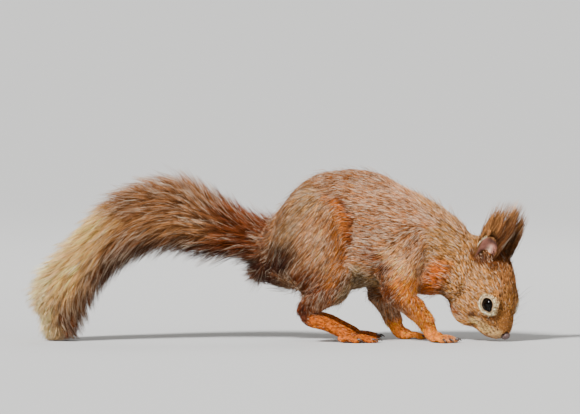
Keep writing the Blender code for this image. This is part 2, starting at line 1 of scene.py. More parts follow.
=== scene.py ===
"""Red squirrel foraging on all fours: the looks of the life-size model.

One skin stands in for the solids of flesh and lies inside them by the depth of the coat.
The coat is mesh: short tufts that follow the skin, and long hairs round a thin tail. The
lids are shaped on the skin; eyes, nose, claws and whiskers are pieces of their own. Shapes
are worked out in millimetres in the working frame of the CAD source, whose origin is on the
floor under the hips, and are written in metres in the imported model's frame.
"""

import logging
import math
from collections.abc import Iterator
from contextlib import contextmanager
from dataclasses import dataclass, field
from enum import Enum

import bpy
import numpy as np
from mathutils import Matrix, Vector
from mathutils.bvhtree import BVHTree
from mathutils.kdtree import KDTree


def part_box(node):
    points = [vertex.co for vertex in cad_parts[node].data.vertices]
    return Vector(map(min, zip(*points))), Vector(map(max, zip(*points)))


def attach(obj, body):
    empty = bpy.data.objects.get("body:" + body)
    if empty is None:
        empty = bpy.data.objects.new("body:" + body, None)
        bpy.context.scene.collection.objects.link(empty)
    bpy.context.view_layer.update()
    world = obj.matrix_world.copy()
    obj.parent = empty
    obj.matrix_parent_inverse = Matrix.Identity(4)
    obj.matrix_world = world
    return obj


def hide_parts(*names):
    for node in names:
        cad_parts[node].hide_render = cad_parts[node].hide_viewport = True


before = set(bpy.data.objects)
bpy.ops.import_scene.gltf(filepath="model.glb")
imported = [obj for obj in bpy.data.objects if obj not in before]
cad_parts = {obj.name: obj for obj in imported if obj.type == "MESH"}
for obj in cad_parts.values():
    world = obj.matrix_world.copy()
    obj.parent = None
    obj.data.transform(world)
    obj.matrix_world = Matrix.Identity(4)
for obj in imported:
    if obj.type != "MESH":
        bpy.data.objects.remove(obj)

MM = 0.001
BODY = "root"
MARKINGS = "markings"  # attribute in which skin and coat carry their colours
UNWRAP = "OFBake"  # map on which every piece of the coat is unwrapped
SIDES = ((-1, "right"), (1, "left"))
Array = np.ndarray
Obj = bpy.types.Object
log = logging.getLogger("squirrel")


# ---- Tints ----
class Tint(Enum):
    """Colours of the coat and the bare parts, as they look in daylight; some also carry painted shade
    or painted glints, as noted on them.
    """

    BACK = (0.66, 0.43, 0.26)
    FLANK = (0.52, 0.30, 0.13)
    NAPE = (0.61, 0.42, 0.22)
    SHOULDER = (0.93, 0.66, 0.43)
    ORANGE = (0.96, 0.54, 0.18)
    RUST = (0.66, 0.36, 0.13)
    THROAT = (0.80, 0.41, 0.11)
    THIGH_TOP = (0.69, 0.51, 0.32)
    THIGH = (0.78, 0.54, 0.35)
    THIGH_EDGE = (0.70, 0.42, 0.19)
    SHIN = (0.47, 0.23, 0.09)
    # dark rump: the fur's own dark colour together with painted shade of its lower rear
    RUMP_DARK = (0.22, 0.09, 0.04)
    HEEL = (0.38, 0.18, 0.09)
    BELLY = (0.52, 0.40, 0.25)
    CHEEK = (0.67, 0.45, 0.23)
    FOREHEAD = (0.62, 0.40, 0.21)
    CROWN = (0.40, 0.22, 0.08)
    NOSE_BRIDGE = (0.64, 0.42, 0.20)
    PAD = (0.89, 0.71, 0.45)
    JAW = (0.74, 0.48, 0.21)
    # painted shade in the creases of the face; also the dark dots at the whisker roots
    CREASE = (0.30, 0.17, 0.09)
    EYE_RING = (0.98, 0.86, 0.67)
    LID = (0.10, 0.06, 0.05)
    TAIL_ROOT = (0.42, 0.20, 0.07)
    TAIL_TOP = (0.55, 0.36, 0.21)
    TAIL_MIDDLE = (0.58, 0.39, 0.23)
    # painted shade on the underside of the tail
    TAIL_UNDER = (0.27, 0.15, 0.08)
    TAIL_STRAW = (0.99, 0.82, 0.56)
    TAIL_TAN = (1.0, 0.77, 0.47)
    EAR_BACK = (0.58, 0.39, 0.22)
    EAR_DARK = (0.35, 0.20, 0.10)
    EAR_HOLLOW = (0.66, 0.44, 0.38)
    EAR_RIM = (0.86, 0.74, 0.60)
    KNUCKLE = (0.70, 0.50, 0.40)
    # pale hair tips with painted glints of sheen; also the painted sheen in the ear's hollow
    SILVER = (0.86, 0.79, 0.69)
    CREAM = (0.96, 0.88, 0.76)
    DUSK = (0.15, 0.08, 0.05)

    @property
    def linear(self) -> Array:
        """The colour in linear light, by the usual curve of screen colours."""
        value = np.array(self.value)
        return np.where(value <= 0.04045, value / 12.92, ((value + 0.055) / 1.055) ** 2.4)


# ---- Small tools ----
def deselect() -> None:
    """Leaves nothing selected, so that an operator acts on its own object alone."""
    bpy.ops.object.select_all(action="DESELECT")


def activate(*objects: Obj) -> Obj:
    """Selects these objects alone and makes the first one active.

    Args:
        objects: The objects.

    Returns:
        The first one.
    """
    deselect()
    for obj in objects:
        obj.select_set(True)
    bpy.context.view_layer.objects.active = objects[0]
    return objects[0]


@contextmanager
def editing(obj: Obj) -> Iterator[None]:
    """Keeps an object in edit mode while a block runs.

    Args:
        obj: The object.
    """
    activate(obj)
    bpy.ops.object.mode_set(mode="EDIT")
    yield
    bpy.ops.object.mode_set(mode="OBJECT")


def named(name: str) -> Obj:
    """Names the object that an operator has just made, with its data."""
    obj = bpy.context.object
    obj.name = obj.data.name = name
    return obj


def apply_modifiers(obj: Obj) -> Obj:
    """Makes an object's modifiers part of its mesh."""
    activate(obj)
    for modifier in list(obj.modifiers):
        bpy.ops.object.modifier_apply(modifier=modifier.name)
    return obj


def join(objects: list[Obj], name: str) -> Obj:
    """Joins objects into one.

    Args:
        objects: The objects, the first of which takes up the others.
        name: Name of the whole.

    Returns:
        The whole.
    """
    activate(*objects)
    if len(objects) > 1:
        bpy.ops.object.join()
    return named(name)


def settle(obj: Obj) -> Obj:
    """Puts a piece's place, turn and scale into its mesh."""
    activate(obj)
    bpy.ops.object.transform_apply(location=True, rotation=True, scale=True)
    return obj


def smoothed(obj: Obj) -> Obj:
    """Shades a piece smooth."""
    activate(obj)
    bpy.ops.object.shade_smooth()
    return obj


def remesh(obj: Obj, voxel: float, smoothing: int) -> Obj:
    """Melts an object's closed shells into one even mesh.

    Args:
        obj: The object.
        voxel: Grain in millimetres.
        smoothing: Passes that soften the joins.

    Returns:
        The same object.
    """
    melt = obj.modifiers.new("Melt", "REMESH")
    melt.mode = "VOXEL"
    melt.voxel_size = voxel * MM
    soften = obj.modifiers.new("Soften", "SMOOTH")
    soften.iterations = smoothing
    return apply_modifiers(obj)


def rows_of(items: bpy.types.bpy_prop_collection, key: str) -> Array:
    """One vector of each of a mesh's items, as rows of numbers."""
    out = np.empty(len(items) * 3, np.float32)
    items.foreach_get(key, out)
    return out.reshape(-1, 3).astype(float)


def places_of(obj: Obj) -> Array:
    """Vertex places in millimetres, in the model's frame."""
    return rows_of(obj.data.vertices, "co") / MM


def normals_of(obj: Obj) -> Array:
    """Vertex normals."""
    return rows_of(obj.data.vertex_normals, "vector")


def put_places(obj: Obj, places: Array) -> None:
    """Moves an object's vertices to places in millimetres."""
    obj.data.vertices.foreach_set("co", (places * MM).astype(np.float32).ravel())
    obj.data.update()


def unit(vectors: Array) -> Array:
    """Vectors scaled to length 1."""
    return vectors / np.maximum(np.linalg.norm(vectors, axis=-1, keepdims=True), 1e-9)


def flattened(vectors: Array, normals: Array) -> Array:
    """Vectors without the part of them that lies along the normals."""
    return vectors - normals * (vectors * normals).sum(axis=1, keepdims=True)


def ramp(value: Array, low: float, high: float) -> Array:
    """Smooth step from 0 at low to 1 at high."""
    t = np.clip((value - low) / (high - low), 0, 1)
    return t * t * (3 - 2 * t)


def bell(value: Array, middle: float, width: float) -> Array:
    """Bell curve, 1 at its middle."""
    return np.exp(-(((value - middle) / width) ** 2))


def off_line(places: Array, start: tuple, end: tuple) -> Array:
    """Distance of places from the line between two places.

    Args:
        places: The places.
        start: One end of the line.
        end: Its other end.

    Returns:
        One distance for each place.
    """
    first = np.array(start, float)
    line = np.array(end, float) - first
    share = np.clip((places - first) @ line / max(float(line @ line), 1e-6), 0, 1)
    return np.linalg.norm(places - first - share[:, None] * line, axis=1)


def stained(colour: Array, tint: Array, share: Array) -> Array:
    """Colours moved towards a tint, by a share for each."""
    return colour + share[:, None] * (tint - colour)


def round_angle(angle: Array) -> Array:
    """An angle from -pi to pi as a share of the whole turn."""
    return angle / (2 * math.pi) + 0.5


def mottle(places: Array, grain: float) -> Array:
    """Soft irregular pattern from -1 to 1: two waves, each bent by another.

    Args:
        places: Places in millimetres.
        grain: Size of its spots in millimetres.

    Returns:
        One value for each place.
    """
    x, y, z = (places / grain).T
    first = np.sin(x * 1.7 + 2.1 * np.sin(z * 1.1 + 0.7) + y)
    second = np.sin(z * 2.3 + 1.7 * np.sin(y * 1.3 + 1.9) - 0.6 * x)
    return 0.5 * (first + second)


def paint(obj: Obj, colours: Array) -> None:
    """Stores the markings on a piece.

    Args:
        obj: The piece.
        colours: A linear colour for each vertex.
    """
    layer = obj.data.attributes.new(MARKINGS, "FLOAT_COLOR", "POINT")
    rgba = np.ones((len(colours), 4), np.float32)
    rgba[:, :3] = colours
    layer.data.foreach_set("color", rgba.ravel())


def lay(name: str, data: bpy.types.ID) -> Obj:
    """Makes an object of a mesh, a light or a camera and puts it in the scene."""
    obj = bpy.data.objects.new(name, data)
    bpy.context.scene.collection.objects.link(obj)
    return obj


def dress(obj: Obj, finish: "Finish", nodes: tuple[str, ...]) -> Obj:
    """Gives a piece its material and its place in the frame.

    Args:
        obj: The piece.
        finish: Its finish.
        nodes: CAD nodes that it stands for.

    Returns:
        The same piece.
    """
    obj.data.materials.clear()
    obj.data.materials.append(finish.material())
    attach(obj, BODY)
    if nodes:
        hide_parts(*nodes)
    triangles = sum(len(face.vertices) - 2 for face in obj.data.polygons)
    log.info("%s: %d triangles", obj.name, triangles)
    return obj


# ---- Finishes ----
@dataclass(frozen=True)
class Wire:
    """A socket of a material, with arithmetic that adds Math nodes."""

    book: "NodeBook"
    socket: bpy.types.NodeSocket

    def maths(self, operation: str, other: "Wire | float") -> "Wire":
        """Adds one Math node and returns its value."""
        return self.book.add("ShaderNodeMath", {"operation": operation}, {0: self, 1: other})

    def __add__(self, other: "Wire | float") -> "Wire":
        """Sum."""
        return self.maths("ADD", other)

    def __mul__(self, other: "Wire | float") -> "Wire":
        """Product."""
        return self.maths("MULTIPLY", other)


ROUGHNESS_SPREAD = 0.2  # how far the roughness of hair, skin and horn varies in all


class NodeBook:
    """The nodes of one material round its Principled shader."""

    def __init__(self, name: str) -> None:
        """Starts a material of this name."""
        self.made = bpy.data.materials.new(name)
        self.made.use_nodes = True
        self.shader = self.made.node_tree.nodes["Principled BSDF"]

    def add(self, kind: str, settings: dict, inputs: dict, output: int | str = 0) -> Wire:
        """Adds a node.

        Args:
            kind: The node's type.
            settings: Its own settings, set first.
            inputs: Value or wire for each of its sockets, by index or name.
            output: The output to return.

        Returns:
            A wire from that output.
        """
        node = self.made.node_tree.nodes.new(kind)
        for key, value in settings.items():
            setattr(node, key, value)
        for key, value in inputs.items():
            if isinstance(value, Wire):
                self.made.node_tree.links.new(value.socket, node.inputs[key])
            else:
                node.inputs[key].default_value = value
        return Wire(self, node.outputs[output])

    def feed(self, name: str, value: Wire | float | tuple) -> None:
        """Sets or links one input of the shader."""
        if isinstance(value, Wire):
            self.made.node_tree.links.new(value.socket, self.shader.inputs[name])
        else:
            self.shader.inputs[name].default_value = value

    def place(self) -> Wire:
        """Object coordinates in metres."""
        return self.add("ShaderNodeTexCoord", {}, {}, "Object")

    def noise(self, per_metre: float, detail: float = 3.0) -> Wire:
        """Noise from 0 to 1 with this many spots in a metre."""
        sockets = {"Vector": self.place(), "Scale": per_metre, "Detail": detail}
        return self.add("ShaderNodeTexNoise", {}, sockets, "Fac")

    def markings(self, value: Wire) -> None:
        """Feeds the colours stored on the vertices, made lighter or darker by a value round 1."""
        stored = self.add("ShaderNodeAttribute", {"attribute_name": MARKINGS}, {}, "Color")
        self.feed("Base Color", self.tinted(stored, value))

    def gloss(self, roughness: Wire | float, specular: float) -> None:
        """Feeds roughness, and how strongly the surface reflects."""
        self.feed("Roughness", roughness)
        self.feed("Specular IOR Level", specular)

    def tinted(self, colour: Wire, value: Wire) -> Wire:
        """A colour made lighter or darker by a value round 1."""
        grey = self.add("ShaderNodeCombineXYZ", {}, {0: value, 1: value, 2: value})
        return self.add("ShaderNodeVectorMath", {"operation": "MULTIPLY"}, {0: colour, 1: grey})

    def bump(self, height: Wire, distance: float, strength: float) -> None:
        """Feeds a bump of this height in metres to the shader."""
        sockets = {"Height": height, "Distance": distance, "Strength": strength}
        self.feed("Normal", self.add("ShaderNodeBump", {}, sockets))


class Finish:
    """A finish that makes its material once."""

    name: str

    def material(self) -> bpy.types.Material:
        """Makes the material at its first use.

        Returns:
            The material.
        """
        known = bpy.data.materials.get(self.name)
        if known:
            return known
        book = NodeBook(self.name)
        self.make(book)
        return book.made

    def make(self, book: NodeBook) -> None:
        """Wires the material's nodes."""
        raise NotImplementedError


@dataclass(frozen=True)
class HairFinish(Finish):
    """Dry hair with a soft gloss along it, its markings stored on the tufts."""

    name: str = "coat_hair"
    roughness: float = 0.5
    variation: float = 0.35
    shade_grain: float = 700  # spots of lighter and darker hair in a metre
    gloss_grain: float = 400
    specular: float = 0.12

    def make(self, book: NodeBook) -> None:
        """Wires the material's nodes.

        Args:
            book: The nodes, with the shader alone at first.
        """
        book.markings(book.noise(self.shade_grain) * self.variation + (1 - self.variation / 2))
        spread = book.noise(self.gloss_grain) * ROUGHNESS_SPREAD
        book.gloss(spread + (self.roughness - ROUGHNESS_SPREAD / 2), self.specular)


@dataclass(frozen=True)
class SkinFinish(Finish):
    """Skin under the coat, with the coat's markings darkened as painted shade, and a nap of the
    shortest fur.
    """

    name: str = "furred_skin"
    roughness: float = 0.7
    variation: float = 0.7
    grain: float = 1500  # hairs of the nap in a metre
    clumps: float = 500  # clumps of the nap in a metre
    nap: float = 0.0006  # height of the nap in metres
    relief: float = 0.8
    specular: float = 0.25

    def make(self, book: NodeBook) -> None:
        """Wires the material's nodes.

        Args:
            book: The nodes, with the shader alone at first.
        """
        fine = book.noise(self.grain, 4)
        book.markings(fine * self.variation + 0.6)
        spread = fine * ROUGHNESS_SPREAD
        book.gloss(spread + (self.roughness - ROUGHNESS_SPREAD / 2), self.specular)
        book.bump(fine + book.noise(self.clumps) * 0.5, self.nap, self.relief)


@dataclass(frozen=True)
class EyeFinish(Finish):
    """A wet, nearly black eye with a dark brown iris."""

    name: str = "wet_eye"
    iris: tuple[float, float, float] = (0.0022, 0.0014, 0.001)
    pupil: tuple[float, float, float] = (0.0006, 0.0006, 0.0006)
    fibres: float = 1800  # strands of the iris in a metre
    roughness: float = 0.05
    specular: float = 0.12

    def make(self, book: NodeBook) -> None:
        """Wires the material's nodes; inputs 6 and 7 of the mix are its two colours.

        Args:
            book: The nodes, with the shader alone at first.
        """
        ends = {"Factor": book.noise(self.fibres), 6: (*self.pupil, 1), 7: (*self.iris, 1)}
        book.feed("Base Color", book.add("ShaderNodeMix", {"data_type": "RGBA"}, ends, 2))
        book.gloss(self.roughness, self.specular)


@dataclass(frozen=True)
class BareFinish(Finish):
    """Bare skin or horn of one colour with a fine grain."""

    name: str
    colour: tuple[float, float, float]
    roughness: float
    grain: float  # grains in a metre
    depth: float  # their depth in metres
    variation: float = 0.6
    relief: float = 0.6

    def make(self, book: NodeBook) -> None:
        """Wires the material's nodes.

        Args:
            book: The nodes, with the shader alone at first.
        """
        fine = book.noise(self.grain, 2)
        base = book.add("ShaderNodeRGB", {}, {})
        base.socket.default_value = (*self.colour, 1)
        book.feed("Base Color", book.tinted(base, fine * self.variation + (1 - self.variation / 2)))
        book.feed("Roughness", fine * ROUGHNESS_SPREAD + (self.roughness - ROUGHNESS_SPREAD / 2))
        book.bump(fine, self.depth, self.relief)


@dataclass(frozen=True)
class FloorFinish(Finish):
    """A plain matt pale floor."""

    name: str = "pale_floor"
    colour: tuple[float, float, float] = (0.58, 0.58, 0.57)
    roughness: float = 0.8
    specular: float = 0.2

    def make(self, book: NodeBook) -> None:
        """Sets the shader's own values."""
        book.feed("Base Color", (*self.colour, 1))
        book.gloss(self.roughness, self.specular)


NOSE = BareFinish("nose_leather", (0.090, 0.050, 0.045), 0.42, 2600, 0.0002)
CLAW = BareFinish("claw_horn", (0.045, 0.030, 0.024), 0.35, 1200, 0.0001)
WHISKER = BareFinish("whisker_hair", (0.030, 0.020, 0.016), 0.4, 800, 0.0)
HAIR = HairFinish()
SKIN = SkinFinish()


# ---- Places on the body ----
@dataclass
class HeadFrame:
    """The turned head: millimetres along it to the nose, up to the crown and out to its left."""

    pitch: float = 64.0
    turn: float = 36.0
    occiput: tuple[float, float, float] = (130.7, 3.0, 58.7)
    eye: tuple[float, float, float] = (39.0, 2.9, 10.4)
    eye_radius: float = 5.3
    axes: Array = field(init=False)  # directions to the nose, to the crown and to its left
    shift: Array = field(init=False)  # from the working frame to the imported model's frame

    def __post_init__(self) -> None:
        """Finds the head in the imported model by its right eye."""
        turn = Matrix.Rotation(math.radians(-self.turn), 3, "Z")
        rotation = turn @ Matrix.Rotation(math.radians(self.pitch), 3, "Y")
        directions = ((1, 0, 0), (0, 0, 1), (0, 1, 0))
        self.axes = np.array([rotation @ Vector(axis) for axis in directions])
        low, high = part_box("eye_right")
        found = np.array((low + high) / 2) / MM
        along, height, out = self.eye
        self.shift = np.zeros(3)
        self.shift = found - self.place(along, height, -out)

    @property
    def noseward(self) -> Array:
        """Direction to the nose."""
        return self.axes[0]

    @property
    def crownward(self) -> Array:
        """Direction to the crown."""
        return self.axes[1]

    @property
    def leftward(self) -> Array:
        """Direction to the head's left."""
        return self.axes[2]

    def place(self, along: float, height: float, left: float) -> Array:
        """A place on the head, in the model's frame."""
        return np.array(self.occiput) + self.shift + np.array((along, height, left)) @ self.axes

    def read(self, places: Array) -> Array:
        """Columns along, height and left for places in the model's frame."""
        return (places - self.shift - np.array(self.occiput)) @ self.axes.T

    def work(self, places: Array) -> Array:
        """Places in the working frame."""
        return places - self.shift


# ---- How the coat grows ----
@dataclass(frozen=True)
class Growth:
    """The coat on one solid of the body, in millimetres.

    The lie is the direction in which it is stroked flat; its middle number points away
    from the middle of the body.
    """

    depth: float  # from the skin to the outside of the coat
    length: float  # of a tuft
    width: float  # of a tuft
    share: float  # tufts on a square millimetre
    lie: tuple[float, float, float]


GROWTHS = {
    "muzzle": Growth(0.8, 2.4, 0.28, 5.5, (-0.36, 0.1, 0.9)),
    "head": Growth(1.6, 4.4, 0.36, 4.4, (-0.42, 0.1, 0.88)),
    "neck": Growth(3.6, 8.8, 0.42, 3.6, (-0.9, 0.15, 0.42)),
    "chest": Growth(3.6, 9.4, 0.42, 3.8, (-0.93, 0.15, 0.28)),
    "belly": Growth(3.8, 9.8, 0.42, 3.8, (-0.97, 0.12, 0.12)),
    "rump": Growth(4.4, 11.0, 0.44, 3.8, (-0.85, 0.15, -0.42)),
    "upper_arm": Growth(2.6, 6.8, 0.38, 3.4, (-0.62, 0.1, -0.7)),
    "forearm": Growth(1.8, 4.6, 0.34, 3.8, (0.25, 0.0, -0.95)),
    "thigh": Growth(3.8, 9.6, 0.42, 3.6, (-0.55, 0.1, -0.8)),
    "shank": Growth(2.2, 6.0, 0.38, 3.4, (-0.18, 0.0, -0.97)),
    "eye": Growth(0.5, 1.6, 0.26, 5.0, (-0.36, 0.1, 0.9)),
    "hand": Growth(0.5, 2.6, 0.28, 4.5, (0.8, 0.0, -0.5)),
    "foot": Growth(0.6, 3.2, 0.32, 2.7, (0.95, 0.0, -0.25)),
}
EDGE_GRAIN = 4.5  # size of the waves in the edge of a patch
EDGE_WANDER = 0.12  # their height as a share of its reach
PLAIN_PALE = 0.4  # share of pale-ended hairs where no patch is
PLAIN_DARK = 0.22  # share of dark-ended hairs where no patch is


class Space(Enum):
    """Where a patch of marking is placed."""

    FLANK = "seen from the side, in x and z of the working frame, through both flanks"
    HEAD = "along the head, height and distance from its middle plane"


@dataclass(frozen=True)
class Patch:
    """A soft-edged area round a line between two places, which changes the coat."""

    space: Space
    start: tuple[float, float, float]
    end: tuple[float, float, float]
    reach: float
    tint: Tint | None = None
    pale: float | None = None  # share of hairs with pale ends
    dark: float | None = None  # share of hairs with dark ends
    length: float | None = None  # of the hair, against the solid's own growth
    lift: float | None = None  # how far it stands up, against the solid's own growth
    soft: float = 0.6  # share of the reach over which the patch fades

    def mask(self, seen: dict[Space, Array]) -> Array:
        """How strongly the patch acts.

        Args:
            seen: The places in each space.

        Returns:
            A share from 0 to 1 for each place.
        """
        places = seen[self.space]
        distance = off_line(places, self.start, self.end)
        distance = distance + mottle(places, EDGE_GRAIN) * EDGE_WANDER * self.reach
        return 1 - ramp(distance, self.reach * (1 - self.soft), self.reach)


def flank(
    x1: float, z1: float, x2: float, z2: float, reach: float, *rest: object, **more: object
) -> Patch:
    """A patch seen from the side, through both flanks."""
    return Patch(Space.FLANK, (x1, 0, z1), (x2, 0, z2), reach, *rest, **more)


def facial(start: tuple, end: tuple, reach: float, *rest: object, **more: object) -> Patch:
    """A patch on both sides of the head."""
    return Patch(Space.HEAD, start, end, reach, *rest, **more)


BODY_PATCHES = (
    flank(20, 112, 76, 108, 13, Tint.FLANK, 0.36, 0.2, soft=1.0),
    flank(20, 40, 110, 40, 20, Tint.FLANK, 0.36, 0.16, soft=0.9),
    flank(112, 62, 122, 55, 18, Tint.NAPE, 0.2, 0.2),
    flank(104, 92, 132, 74, 14, Tint.NAPE, 0.28, 0.18, lift=1.5, soft=0.9),
    flank(62, 72, 78, 62, 19, Tint.FLANK, 0.42, 0.2, soft=1.0),
    flank(22, 92, 14, 78, 21, Tint.THIGH_TOP, 0.42, 0.14, soft=0.9),
    flank(-2, 84, 18, 106, 12, Tint.FLANK, 0.3, 0.2, soft=1.0),
    flank(26, 78, 24, 60, 18, Tint.THIGH, 0.36, 0.12, soft=0.8),
    flank(30, 56, 30, 42, 16, Tint.THIGH, 0.3, 0.15, soft=0.8),
    flank(40, 40, 22, 36, 13, Tint.SHIN, 0.25, 0.2, soft=0.9),
    flank(22, 46, 14, 28, 16, Tint.SHIN, 0.25, 0.25, soft=0.9),
    # dark rump under the tail: its own dark fur and painted shade
    flank(8, 62, -4, 50, 17, Tint.RUMP_DARK, 0.07, 0.35, 1.3, soft=1.0),
    flank(-6, 44, 12, 38, 14, Tint.RUMP_DARK, 0.1, 0.3, 1.45, 1.3, soft=1.0),
    flank(30, 84, 42, 80, 8, Tint.THIGH, 0.12, 0.35, soft=1.0),
    flank(40, 84, 42, 60, 8, Tint.THIGH_EDGE, 0.15, 0.1, soft=1.0),
    flank(42, 60, 38, 44, 8, Tint.THIGH_EDGE, 0.2, 0.1, soft=1.0),
    flank(36.5, 97, 43.8, 92.6, 3.2, Tint.RUST, 0.03, 0.1, soft=0.9),
    flank(43.8, 92.6, 48.2, 83, 3.8, Tint.RUST, 0.03, 0.1, soft=0.9),
    flank(48.2, 83, 48.4, 68, 4.0, Tint.RUST, 0.05, 0.1, soft=0.9),
    flank(48.4, 68, 45, 54, 3.6, Tint.RUST, 0.1, 0.1, soft=0.9),
    # painted shade of the fold beside the thigh's orange edge
    flank(46, 94.5, 51.8, 83, 2.2, Tint.SHIN, 0.05, 0.3, soft=1.0),
    flank(51.8, 83, 51.4, 64, 2.3, Tint.SHIN, 0.05, 0.3, soft=1.0),
    flank(54, 90, 55, 58, 6, None, None, None, 0.62, soft=1.0),
    flank(56, 46, 48, 36, 8, Tint.BELLY, 0.35, 0.25, 1.2),
    flank(80, 56, 86, 42, 20, Tint.SHOULDER, 0.34, 0.08, soft=1.0),
    flank(65, 60, 74, 50, 7.5, Tint.SHIN, 0.45, 0.12, soft=1.0),
    flank(86, 40, 96, 18, 15, Tint.ORANGE, 0.18, 0.06, soft=0.9),
    flank(70, 42, 78, 32, 10, Tint.SHIN, 0.15, 0.1, soft=1.0),
    flank(98, 34, 110, 43, 15, Tint.THROAT, 0.2, 0.16, lift=1.2, soft=1.0),
    flank(10, 14, 70, 0, 14, Tint.THROAT, 0.06, 0.12),
    flank(16, 24, 14, 14, 8, Tint.HEEL, 0.05, 0.2),
    flank(75, 6, 125, 4, 14, Tint.ORANGE, 0.06, 0.22),
)

HEAD_PATCHES = (
    facial((2, 0, 0), (58, -4, 0), 26, Tint.CHEEK, 0.22, 0.24, soft=0.2),
    facial((20, 19, 0), (40, 14, 0), 15, Tint.FOREHEAD, 0.06, 0.26),
    facial((6, 16, 0), (16, 18, 8), 12, Tint.CROWN, 0.1, 0.2),
    facial((42, 10, 3), (58, 3, 3), 10, Tint.NOSE_BRIDGE, 0.07, 0.22),
    facial((46, 2, 12), (49, -6, 11), 6, Tint.NOSE_BRIDGE, 0.06, 0.25),
    facial((46, -13, 9), (57, -5, 5), 5.8, Tint.PAD, 0.2, 0.3),
    facial((50, -15, 3), (47, -18, 6), 7, Tint.JAW, 0.2, 0.25),
    facial((46, -19, 7), (38, -26, 8), 6.5, Tint.JAW, 0.2, 0.2),
    # painted shade along the crease before the eye and under the cheek
    facial((49, 2, 11), (46, -3, 11.5), 2.6, Tint.SHIN, 0.0, 0.3, soft=1.0),
    facial((46, -3, 11.5), (42, -9.5, 12.5), 2.6, Tint.CREASE, 0.0, 0.3, soft=1.0),
    facial((42, -9.5, 12.5), (36, -18, 13), 2.8, Tint.CREASE, 0.0, 0.4, soft=1.0),
    facial((36, -19, 14), (28, -26, 12), 4.5, Tint.SHIN, 0.15, 0.3, soft=1.0),
    facial((0, -12, 8), (12, -18, 8), 9, Tint.THROAT, 0.15, 0.1),
    facial((16, -28, 8), (30, -30, 8), 6, Tint.THROAT, 0.15, 0.1),
    facial((14, 12, 13), (6, 8, 14), 6, Tint.CROWN, 0.15, 0.2),
    # painted shade in the mouth of the ear
    facial((12, 16.5, 15), (8.5, 14, 15), 5.5, Tint.DUSK, 0.0, 0.1, soft=0.8),
)

TAIL_PATCHES = (
    flank(-10, 66, -45, 80, 38, Tint.TAIL_ROOT, 0.08, 0.14, soft=0.5),
    flank(-58, 98, -95, 92, 30, Tint.TAIL_TOP, 0.24, 0.1, soft=1.0),
    flank(-55, 76, -105, 74, 18.8, Tint.TAIL_MIDDLE, 0.14, 0.12, soft=1.0),
    flank(-126, 74, -146, 38, 25, Tint.TAIL_TAN, 0.22, 0.08, soft=1.0),
    # painted shade along the underside of the brush
    flank(-12, 50, -50, 56, 11.2, Tint.TAIL_UNDER, 0.13, 0.3, soft=1.0),
    flank(-50, 57, -88, 59, 13.5, Tint.TAIL_UNDER, 0.13, 0.3, soft=1.0),
    flank(-88, 57, -111, 41, 10.5, Tint.TAIL_UNDER, 0.13, 0.3, soft=1.0),
    flank(-111, 41, -125, 14, 7.5, Tint.TAIL_UNDER, 0.2, 0.2, soft=1.0),
    flank(-148, 68, -162, 40, 15, Tint.TAIL_STRAW, 0.3, 0.06, soft=1.0),
    flank(-162, 40, -154, 4, 17, Tint.TAIL_STRAW, 0.3, 0.06, soft=1.0),
    flank(-64, 112, -96, 114, 11, None, 0.4, 0.15, soft=1.0),
)


@dataclass
class Fields:
    """What the coat needs to know at each vertex of the skin, in the words of Growth and Patch."""

    places: Array
    normals: Array
    depth: Array
    length: Array
    width: Array
    share: Array
    lie: Array
    colour: Array
    pale: Array
    dark: Array
    lift: Array
    solid: Array  # number of the nearest solid

    def at(self, corners: Array, weights: Array) -> "Fields":
        """Fields between vertices.

        Args:
            corners: Three vertex numbers for each place.
            weights: Their three weights.

        Returns:
            The fields at those places.
        """

        def mix(values: Array) -> Array:
            """Weighs one field's values at the corners."""
            spread = weights if values.ndim == 1 else weights[..., None]
            return (values[corners] * spread).sum(axis=1)

        mixed = [mix(getattr(self, name)) for name in list(self.__dataclass_fields__)[:-1]]
        return Fields(*mixed, self.solid[corners[:, 0]])


def seen_places(places: Array, head: HeadFrame) -> dict[Space, Array]:
    """The same places in each space that patches use."""
    on_head = head.read(places)
    on_head[:, 2] = np.abs(on_head[:, 2])
    return {Space.FLANK: head.work(places) * (1, 0, 1), Space.HEAD: on_head}


def marked(
    places: Array, head: HeadFrame, patches: tuple[Patch, ...], start: Tint
) -> dict[str, Array]:
    """Works the patches out, one over the other.

    Args:
        places: Places in the model's frame.
        head: The head's frame.
        patches: Patches in the order in which they lie over each other.
        start: Tint where no patch is.

    Returns:
        Arrays colour, pale, dark, length and lift.
    """
    seen = seen_places(places, head)
    count = len(places)
    out = {
        "colour": np.tile(start.linear, (count, 1)),
        "pale": np.full(count, PLAIN_PALE),
        "dark": np.full(count, PLAIN_DARK),
        "length": np.ones(count),
        "lift": np.ones(count),
    }
    for patch in patches:
        mask = patch.mask(seen)
        if patch.tint:
            out["colour"] = stained(out["colour"], patch.tint.linear, mask)
        for name in ("pale", "dark", "length", "lift"):
            value = getattr(patch, name)
            if value is not None:
                out[name] += mask * (value - out[name])
    return out


